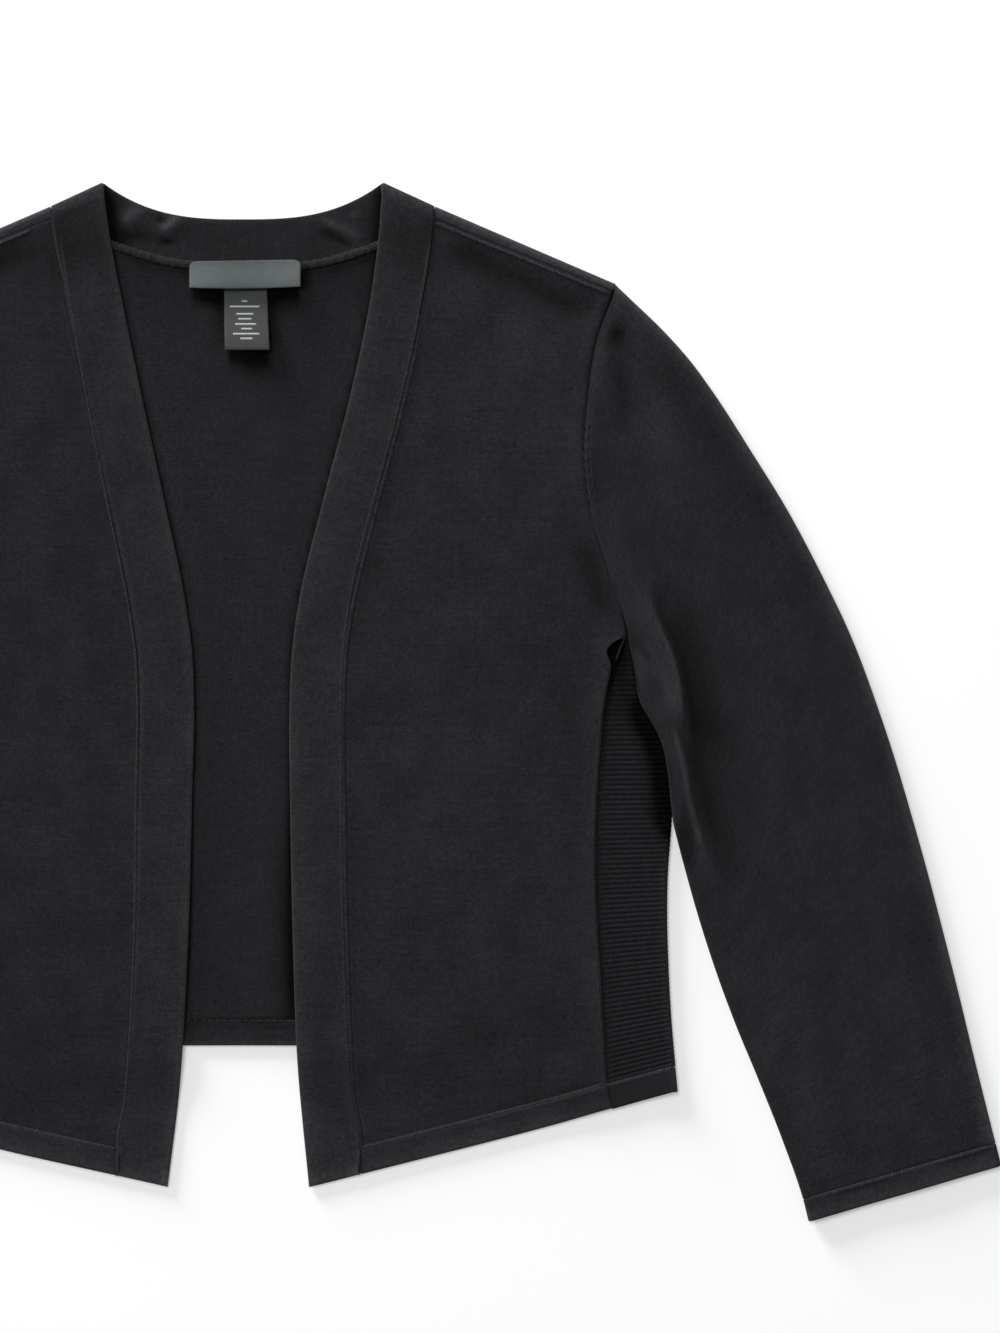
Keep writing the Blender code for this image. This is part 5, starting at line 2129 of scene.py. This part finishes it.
@dataclass(frozen=True)
class Seams(SubAssembly):
    """Linking ridges, fashioning marks and the neck seam's strip."""

    right: BandSeam = BandSeam(
        bead=Ridge(0.9, 0.42, 1.9, 0.12, 0.16, 0.9, 24.0),
        bead_offset=Line(
            ((16, -1.6), (110, -1.6), (200, -2.2), (260, -0.8), (400, -1.3), (528, -0.5))
        ),
        faint_offset=0.9,
        faint_end=262.0,
        filling=Ridge(1.6, 0.55, 2.0, 0.05, 0.0, 1.2, 60.0),
        filling_offset=0.25,
        filled_from=38.0,
        filling_run=75.0,
    )
    left: BandSeam = BandSeam(
        bead=Ridge(0.75, 0.4, 1.9, 0.12, 0.14, 0.95),
        bead_offset=Line(((16, -3.3), (40, -2.7), (60, -1.4), (85, -0.4), (528, -0.3))),
        faint_offset=2.8,
        faint_end=120.0,
        filling=Ridge(1.25, 0.5, 2.0, 0.05, 0.0, 0.92, 20.0),
        filling_offset=-0.35,
        filled_from=42.0,
        filling_run=20.0,
    )
    thick: Ridge = Ridge(1.2, 0.38, wear=1.1)
    faint: Ridge = Ridge(0.3, 0.12, 1.7)
    edge: Ridge = Ridge(0.55, 0.4, 2.0, 0.2, 0.1, 0.5)
    over_shoulder: Ridge = Ridge(0.9, 0.5, wear=1.2)
    core: Ridge = Ridge(0.6, 0.6, 2.0, 0.05, 0.0)
    faded: Ridge = Ridge(1.0, 0.18, wear=0.5)
    strip: Ridge = Ridge(2.2, 0.8, 2.6, 0.06, 0.2, 0.8)
    marks: Array = field(default_factory=lambda: np.arange(130, 172, 5.6))
    mark_half: float = 1.6
    path_points: int = 60
    shoulder_starts: tuple[float, float] = (2.4, 13.0)
    shoulder_end: float = 0.8
    shoulder_inset: float = 2.1
    side_start: float = 258.0
    side_inset: float = 1.5
    bead_top: float = 16.0
    bead_corner: float = 62.0
    core_corner: float = 61.5
    core_ends: tuple[float, float] = (54.5, 262.0)
    core_sink: float = 0.9
    core_sinking: Fade = Fade(236, 8)
    overlap: float = 12.0

    def on_band(self, side: Side) -> BandSeam:
        """Looks of the band seam of a half."""
        return side.pick(self.right, self.left)

    def on_front(self, side: Side, places: Array, rise: float | Array) -> Array:
        """Points on top of a front at places."""
        height = self.lie.panel(side, places[:, 0], places[:, 1]) + self.cut.knit + rise
        return frame_points(side, places, height)

    def shoulder(self, side: Side) -> Array:
        """Path of the shoulder ridge, just below the seam.

        Args:
            side: The half it is on.

        Returns:
            Points (n, 3) of the path.
        """
        start = self.cut.shoulder_neck[0] + side.pick(*self.shoulder_starts)
        end = self.cut.shoulder_tip[0] - self.shoulder_end
        line, away, wrap = self.cut.shoulder(np.linspace(start, end, self.path_points))
        return self.on_front(side, line - away * (wrap + self.shoulder_inset)[:, None], 0.2)

    def armhole(self, side: Side, offset: float, downs: tuple[float, float]) -> Array:
        """Path of a line beside the armhole seam; a negative offset is on the front.

        Args:
            side: The half it is on.
            offset: Distance from the seam.
            downs: Where it starts and ends.

        Returns:
            Points (n, 3) of the path.
        """
        down = np.linspace(*downs, self.path_points)
        places = np.stack([self.cut.armhole.at(down) + offset, down], -1)
        return self.on_front(side, places, 0.12)

    def band_seam(
        self, side: Side, offset: Line | float, downs: tuple[float, float], rise: float
    ) -> Array:
        """Path of a line beside the band's outer seam; a negative offset is on the band.

        Args:
            side: The half it is on.
            offset: Distance from the seam.
            downs: Where it starts and ends.
            rise: Height above the front.

        Returns:
            Points (n, 3) of the path.
        """
        down = np.linspace(*downs, 160)
        offset = offset.at(down) if isinstance(offset, Line) else offset
        places = np.stack([self.cut.band_seam(side, down) + offset, down], -1)
        hem_seam = self.cut.hem_line(side).at(self.bead_corner) - self.cut.hem
        over_hem = (self.cut.double - self.cut.knit) * ease((down - hem_seam + 1) / 2)
        return self.on_front(side, places, rise + over_hem)

    def hem(self, side: Side | None) -> Array:
        """Path of the ridge on a hem's seam.

        Args:
            side: The front's half, or None for the back.

        Returns:
            Points (n, 3) of the path.
        """
        places = BodyPanels(self.lie, self.finishes).hem_places(side, 80, 2)[0]
        if side is None:
            height = np.full(len(places), self.cut.double - 0.1)
            return frame_points(Side.RIGHT, places + [0, 0.8], height)
        return self.on_front(side, places - [0, 0.4], 0.65)

    def side_hem(self, side: Side) -> Array:
        """Path of the ridge on a side panel's hem seam, from the front seam to its fold.

        Args:
            side: The half it is on.

        Returns:
            Points (n, 3) of the path.
        """
        panels = SidePanels(self.lie, self.finishes)
        edges = panels.hem_edges(side, np.array([0.0, 1.0]))
        shell = panels.shell(side, edges, self.cut.double, np.zeros(2))
        count = panels.front_columns + len(FOLD_ANGLES) // 2
        return shell.skin[0, :count] + [0, -0.9, -0.2]

    def side_seam(self, side: Side) -> Array:
        """Path of the ridge on the front panel's side edge.

        Args:
            side: The half it is on.

        Returns:
            Points (n, 3) of the path.
        """
        end = self.cut.hem_line(side).at(self.cut.hem_seam_across) - 1
        down = np.linspace(self.side_start, end, 2 * self.path_points)
        places = np.stack([self.cut.side_seam.at(down) - self.side_inset, down], -1)
        return self.on_front(side, places, 0.08)

    def neck_strip(self) -> Array:
        """Path of the strip over the back neck seam.

        Returns:
            Points (n, 3) of the path.
        """
        share = np.linspace(0, 1, self.path_points)
        half = np.stack([self.cut.neck_seam_across.at(share), self.cut.neck_seam_down.at(share)], -1)
        places = np.concatenate([(half * [-1, 1])[:0:-1], half])
        height = np.full(len(places), self.cut.double + 0.15)
        lower = 1.2 + 0.6 * np.clip(places[:, [0]] / 50, -1, 1)
        return frame_points(Side.RIGHT, places + lower * [0, 1], height)

    def cuff(self, side: Side) -> Array:
        """Path of the ridge on a cuff's seam, over its upper layer.

        Args:
            side: The half it is on.

        Returns:
            Points (n, 3) of the path.
        """
        cut = self.cut
        outer = np.array([float(cut.sleeve_outer.at(cut.cuff_seam[0])), cut.cuff_seam[0]])
        inner = np.array([float(cut.sleeve_inner.at(cut.cuff_seam[1])), cut.cuff_seam[1]])
        share = np.linspace(0.02, 0.98, self.path_points)
        places = outer + (inner - outer) * share[:, None] + [0, 0.8]
        edge = np.minimum(share, 1 - share) * 100
        height = 3.7 + 1.6 * np.sqrt(ease(edge / 4))
        return frame_points(side, places, height)

    def cores(self, side: Side) -> list[Array]:
        """Paths of the near-black tube deep in the armhole seam, which is painted shade, of the yarn deep
        in the band's seam, and of the band's filling.

        Args:
            side: The half it is on.

        Returns:
            The armhole's path, the band's top and its filling.
        """
        down = np.linspace(*self.core_ends, 90)
        below = down > self.cut.underarm_down
        across = np.where(below, self.cut.sleeve_inner.at(down), self.cut.armhole.at(down) - 0.1)
        depth = -0.75 - self.core_sink * self.core_sinking.at(down)
        armhole = self.on_front(side, np.stack([across, down], -1), depth)
        end = self.cut.hem_line(side).at(self.core_corner) - 0.6
        paths = [armhole]
        seam = self.on_band(side)
        for start, stop, offset, rise in (
            (13.5, seam.filled_from + self.overlap, 0.0, 0.0),
            (seam.filled_from, end, seam.filling_offset, 0.5),
        ):
            down = np.linspace(start, stop, 200)
            band = np.stack([self.cut.band_seam(side, down) + offset, down], -1)
            grown = ease((down - start) / seam.filling_run)
            paths.append(self.on_front(side, band, rise * grown - 0.2))
        return paths

    def underarm_edge(self, side: Side) -> Array:
        """Path of the seam's edge that shows inside the opening at the underarm."""
        places = np.array([(203.4, 238.2), (201.2, 243.5), (198.9, 249.4), (197.4, 254.0)])
        return self.on_front(side, places, -0.35)

    def make_ridges(
        self,
        name: str,
        lines: list[tuple[Ridge, Array]],
        finish: bpy.types.Material,
        slot: Slot,
    ) -> None:
        """Makes one piece of some ridges.

        Args:
            name: The piece's name.
            lines: Each ridge with its path.
            finish: Its material.
            slot: A slot name for the finish, passed on to the maker.
        """
        maker = MeshMaker()
        for ridge, path in lines:
            ridge.tube(maker, path)
        maker.make(name, finish, slot)

    def build_marks(self, side: Side) -> MeshMaker:
        """Fashioning marks beside the armhole, two to a decrease.

        Args:
            side: The half it is on.

        Returns:
            The marks, collected.
        """
        maker = MeshMaker()
        for down in self.marks:
            for offset, slant in ((-0.4, 0.5), (2.2, -0.5)):
                start = np.array([float(self.cut.armhole.at(down)) + offset, down])
                share = np.linspace(-1, 1, 7)
                places = start + np.stack([share * slant, share], -1) * self.mark_half
                path = self.on_front(side, places, 0.12)
                size = np.sqrt(np.maximum(1 - share**2, 0.02))
                maker.add_tube(path, 0.22 * size, 0.1 * size, 6)
        return maker

    def build(self) -> None:
        """Makes every ridge and mark."""
        yarn, core = self.finishes.yarn, self.finishes.core
        for side in Side:
            seam = self.on_band(side)
            bead_ends = (self.bead_top, self.cut.hem_line(side).at(self.bead_corner) - 1.2)
            ridges: dict[str, list[tuple[Ridge, Array]]] = {
                "shoulder_ridge": [(self.over_shoulder, self.shoulder(side))],
                "armhole_lines": [
                    (self.faint, self.armhole(side, -2.4, (118, 214))),
                    (self.faint, self.armhole(side, 3.6, (110, 206))),
                ],
                "band_lines": [
                    (seam.bead, self.band_seam(side, seam.bead_offset, bead_ends, 0.58)),
                    (self.faint, self.band_seam(side, seam.faint_offset, (60, seam.faint_end), 0.1)),
                ],
                "hem_ridge": [(self.thick, self.hem(side)), (self.thick, self.side_hem(side))],
                "side_line": [
                    (self.faint, self.side_seam(side)),
                    (self.edge, self.underarm_edge(side)),
                ],
                "cuff_ridge": [(self.thick, self.cuff(side))],
            }
            for name, lines in ridges.items():
                self.make_ridges(f"{name}_{side.letter}", lines, yarn, Slot.BAND)
            # The marks are near-black: painted shade in their small holes.
            self.build_marks(side).make(f"marks_{side.letter}", core, Slot.KNIT)
            armhole, band_top, band = self.cores(side)
            fillings = [(self.core, band_top), (seam.filling, band)]
            # The armhole's tube is near-black: painted shade deep in the seam.
            self.make_ridges(f"armhole_seam_{side.letter}", [(self.core, armhole)], core, Slot.KNIT)
            self.make_ridges(f"band_seam_{side.letter}", fillings, self.finishes.band, Slot.KNIT)
        self.make_ridges("back_hem_ridge", [(self.faded, self.hem(None))], yarn, Slot.BAND)
        self.make_ridges("neck_strip", [(self.strip, self.neck_strip())], yarn, Slot.BAND)


@dataclass(frozen=True)
class Labels(SubAssembly):
    """The bare neck label and the size tag with its generic bars."""

    centre: float = 1.3
    top: float = 41.4
    width: float = 58.8
    height: float = 14.8
    lift: float = 2.7
    stand_off: float = 3.4
    woven: float = 1.0
    tag_top: tuple[float, float] = (-10.2, 12.2)
    tag_bottom: tuple[float, float] = (-9.2, 14.6)
    tag_down: float = 45.2
    tag_end: float = 89.1
    tag_stand_off: float = 5.0
    # Bars of the tag: start across, down, and length.
    bars: tuple[tuple[float, float, float], ...] = (
        (-0.5, 63.0, 3.0),
        (-6.7, 65.9, 15.7),
        (-3.2, 69.9, 9.0),
        (-2.1, 72.6, 6.9),
        (-3.7, 75.4, 11.1),
        (-0.6, 77.9, 5.8),
        (-4.8, 80.6, 14.0),
        (-0.9, 83.1, 6.4),
    )

    def label_places(self) -> Array:
        """Places of the label.

        Returns:
            Places (rows, columns, 2).
        """
        across = self.centre + self.width * np.linspace(-0.5, 0.5, 60)
        share = np.linspace(0, 1, 18)[:, None]
        from_middle = (across - self.centre) / self.width * 2
        top = self.top - 0.5 * from_middle + 2.2 * np.abs(from_middle) ** 24
        bottom = self.top + self.height + 0.5 - 0.9 * from_middle**2 - 0.3 * from_middle
        down = top * (1 - share) + bottom * share
        return np.stack([np.broadcast_to(across, down.shape), down], -1)

    def label_height(self, places: Array) -> Array:
        """Height of the label's underside.

        Args:
            places: Places (..., 2).

        Returns:
            The heights, in the same shape.
        """
        middle = 1 - ((places[..., 0] - self.centre) / self.width * 2) ** 4
        share = ease((places[..., 1] - self.top) / self.height)
        return self.lift + self.stand_off * share * (0.5 + 0.5 * middle)

    def build_label(self) -> None:
        """Makes the label."""
        places = self.label_places()
        from_middle = (places[..., 0] - self.centre) / self.width * 2
        # Painted light: the label's ends, which bow up, are lighter than its middle, the right end most.
        wear = 0.78 + 0.3 * from_middle**2 + 0.11 * np.maximum(from_middle, 0)
        shell = laid_shell(Side.RIGHT, places, self.label_height(places), self.woven, wear)
        piece = make_cloth("label", [shell], self.finishes.label, Slot.LABEL)
        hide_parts("neck_label")

    def tag_places(self) -> Array:
        """Places of the tag.

        Returns:
            Places (rows, columns, 2).
        """
        share = np.linspace(0, 1, 30)[:, None, None]
        ends = np.array(self.tag_top) * (1 - share) + np.array(self.tag_bottom) * share
        reach = np.linspace(0, 1, 20)[None, :]
        across = ends[..., 0] + (ends[..., 1] - ends[..., 0]) * reach
        down = np.broadcast_to(
            self.tag_down + (self.tag_end - self.tag_down) * share[..., 0], across.shape
        )
        return np.stack([across, down], -1)

    def tag_height(self, places: Array) -> Array:
        """Height of the tag's underside.

        Args:
            places: Places (..., 2).

        Returns:
            The heights, in the same shape.
        """
        below = self.top + self.height
        share = ease((places[..., 1] - below) / (self.tag_end - below))
        return self.lie.cut.knit + 0.3 + self.tag_stand_off * share

    def build_tag(self) -> None:
        """Makes the tag and its bars."""
        places = self.tag_places()
        shell = laid_shell(Side.RIGHT, places, self.tag_height(places), self.woven)
        piece = make_cloth("tag", [shell], self.finishes.tag, Slot.TAG)
        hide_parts("size_tag")
        bars = MeshMaker()
        for start, down, length in self.bars:
            across = start + np.linspace(0, length, 20)
            bar = np.stack([across, np.full(20, down)], -1)
            path = frame_points(Side.RIGHT, bar, self.tag_height(bar) + self.woven)
            bars.add_tube(path, np.full(20, 0.55), np.full(20, 0.1), 6)
        marks = bars.make("tag_bars", self.finishes.mark, Slot.TAG)

    def build(self) -> None:
        """Makes the label and the tag."""
        self.build_label()
        self.build_tag()


@dataclass(frozen=True)
class Studio:
    """Camera, floor and light, as for a garment shot from straight above."""

    aim: tuple[float, float] = (136.2, 18.7)
    frame_height: float = 706.5
    distance: float = 2200.0
    sensor: float = 36.0
    floor_size: float = 6.0
    floor_colour: float = 0.75
    floor_glow: float = 0.284
    floor_roughness: float = 0.9
    floor_specular: float = 0.1
    floor_gap: float = 0.8
    world: float = 0.2
    light_turn: float = 35.0
    key: tuple[float, float, float, float] = (6.0, 70.0, 2.4, 197.0)
    low_key: tuple[float, float, float, float] = (7.0, 12.0, 2.4, 725.0)

    def build_camera(self) -> None:
        """Makes the camera, looking straight down with the neck at the top."""
        data = bpy.data.cameras.new("camera")
        data.sensor_width = self.sensor
        data.lens = self.sensor * self.distance / self.frame_height
        data.clip_end = 50.0
        camera = bpy.data.objects.new("camera", data)
        camera.location = (self.aim[0] * MM, self.aim[1] * MM, self.distance * MM)
        bpy.context.scene.collection.objects.link(camera)
        bpy.context.scene.camera = camera

    def build_floor(self) -> None:
        """Makes the plain pale floor, a hair below the garment."""
        half, low = self.floor_size / 2, -self.floor_gap * MM
        mesh = bpy.data.meshes.new("floor")
        corners = [(-half, -half), (half, -half), (half, half), (-half, half)]
        mesh.from_pydata([(x, y, low) for x, y in corners], [], [(0, 1, 2, 3)])
        graph = Graph("floor_white")
        graph.dress(
            {
                "Base Color": (*[self.floor_colour] * 3, 1.0),
                "Emission Color": (1.0, 1.0, 1.0, 1.0),
                "Emission Strength": self.floor_glow,
                "Roughness": self.floor_roughness,
                "Specular IOR Level": self.floor_specular,
            }
        )
        mesh.materials.append(graph.material)
        floor = bpy.data.objects.new("floor", mesh)
        bpy.context.scene.collection.objects.link(floor)

    def build_light(self, name: str, lamp: tuple[float, float, float, float]) -> None:
        """Makes a soft square light that faces the garment.

        Args:
            name: The light's name.
            lamp: Its distance in metres, its height in degrees, its size in metres and its power.
        """
        distance, height, size, power = lamp
        data = bpy.data.lights.new(name, "AREA")
        data.size, data.energy = size, power
        light = bpy.data.objects.new(name, data)
        up, turn = math.radians(height), math.radians(self.light_turn)
        level = distance * math.cos(up)
        light.location = (-level * math.sin(turn), level * math.cos(turn), distance * math.sin(up))
        light.rotation_euler = (math.pi / 2 - up, 0, math.pi + turn)
        light.visible_camera = False
        bpy.context.scene.collection.objects.link(light)

    def build(self) -> None:
        """Makes the studio."""
        self.build_camera()
        self.build_floor()
        self.build_light("key", self.key)
        self.build_light("low_key", self.low_key)
        world = bpy.data.worlds.new("world")
        world.use_nodes = True
        sky = world.node_tree.nodes["Background"]
        sky.inputs["Color"].default_value = (1, 1, 1, 1)
        sky.inputs["Strength"].default_value = self.world
        bpy.context.scene.world = world
        bpy.context.scene.view_settings.view_transform = "Standard"


def main() -> None:
    """Builds the studio and every piece of the garment."""
    logging.basicConfig(level=logging.INFO, format="%(message)s")
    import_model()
    lie = Lie()
    finishes = Finishes()
    Studio().build()
    for part in (BodyPanels, SidePanels, Sleeves, FrontBand, Seams, Labels):
        part(lie, finishes).build()
        LOG.info("%s built", part.__name__)


if __name__ == "__main__":
    main()
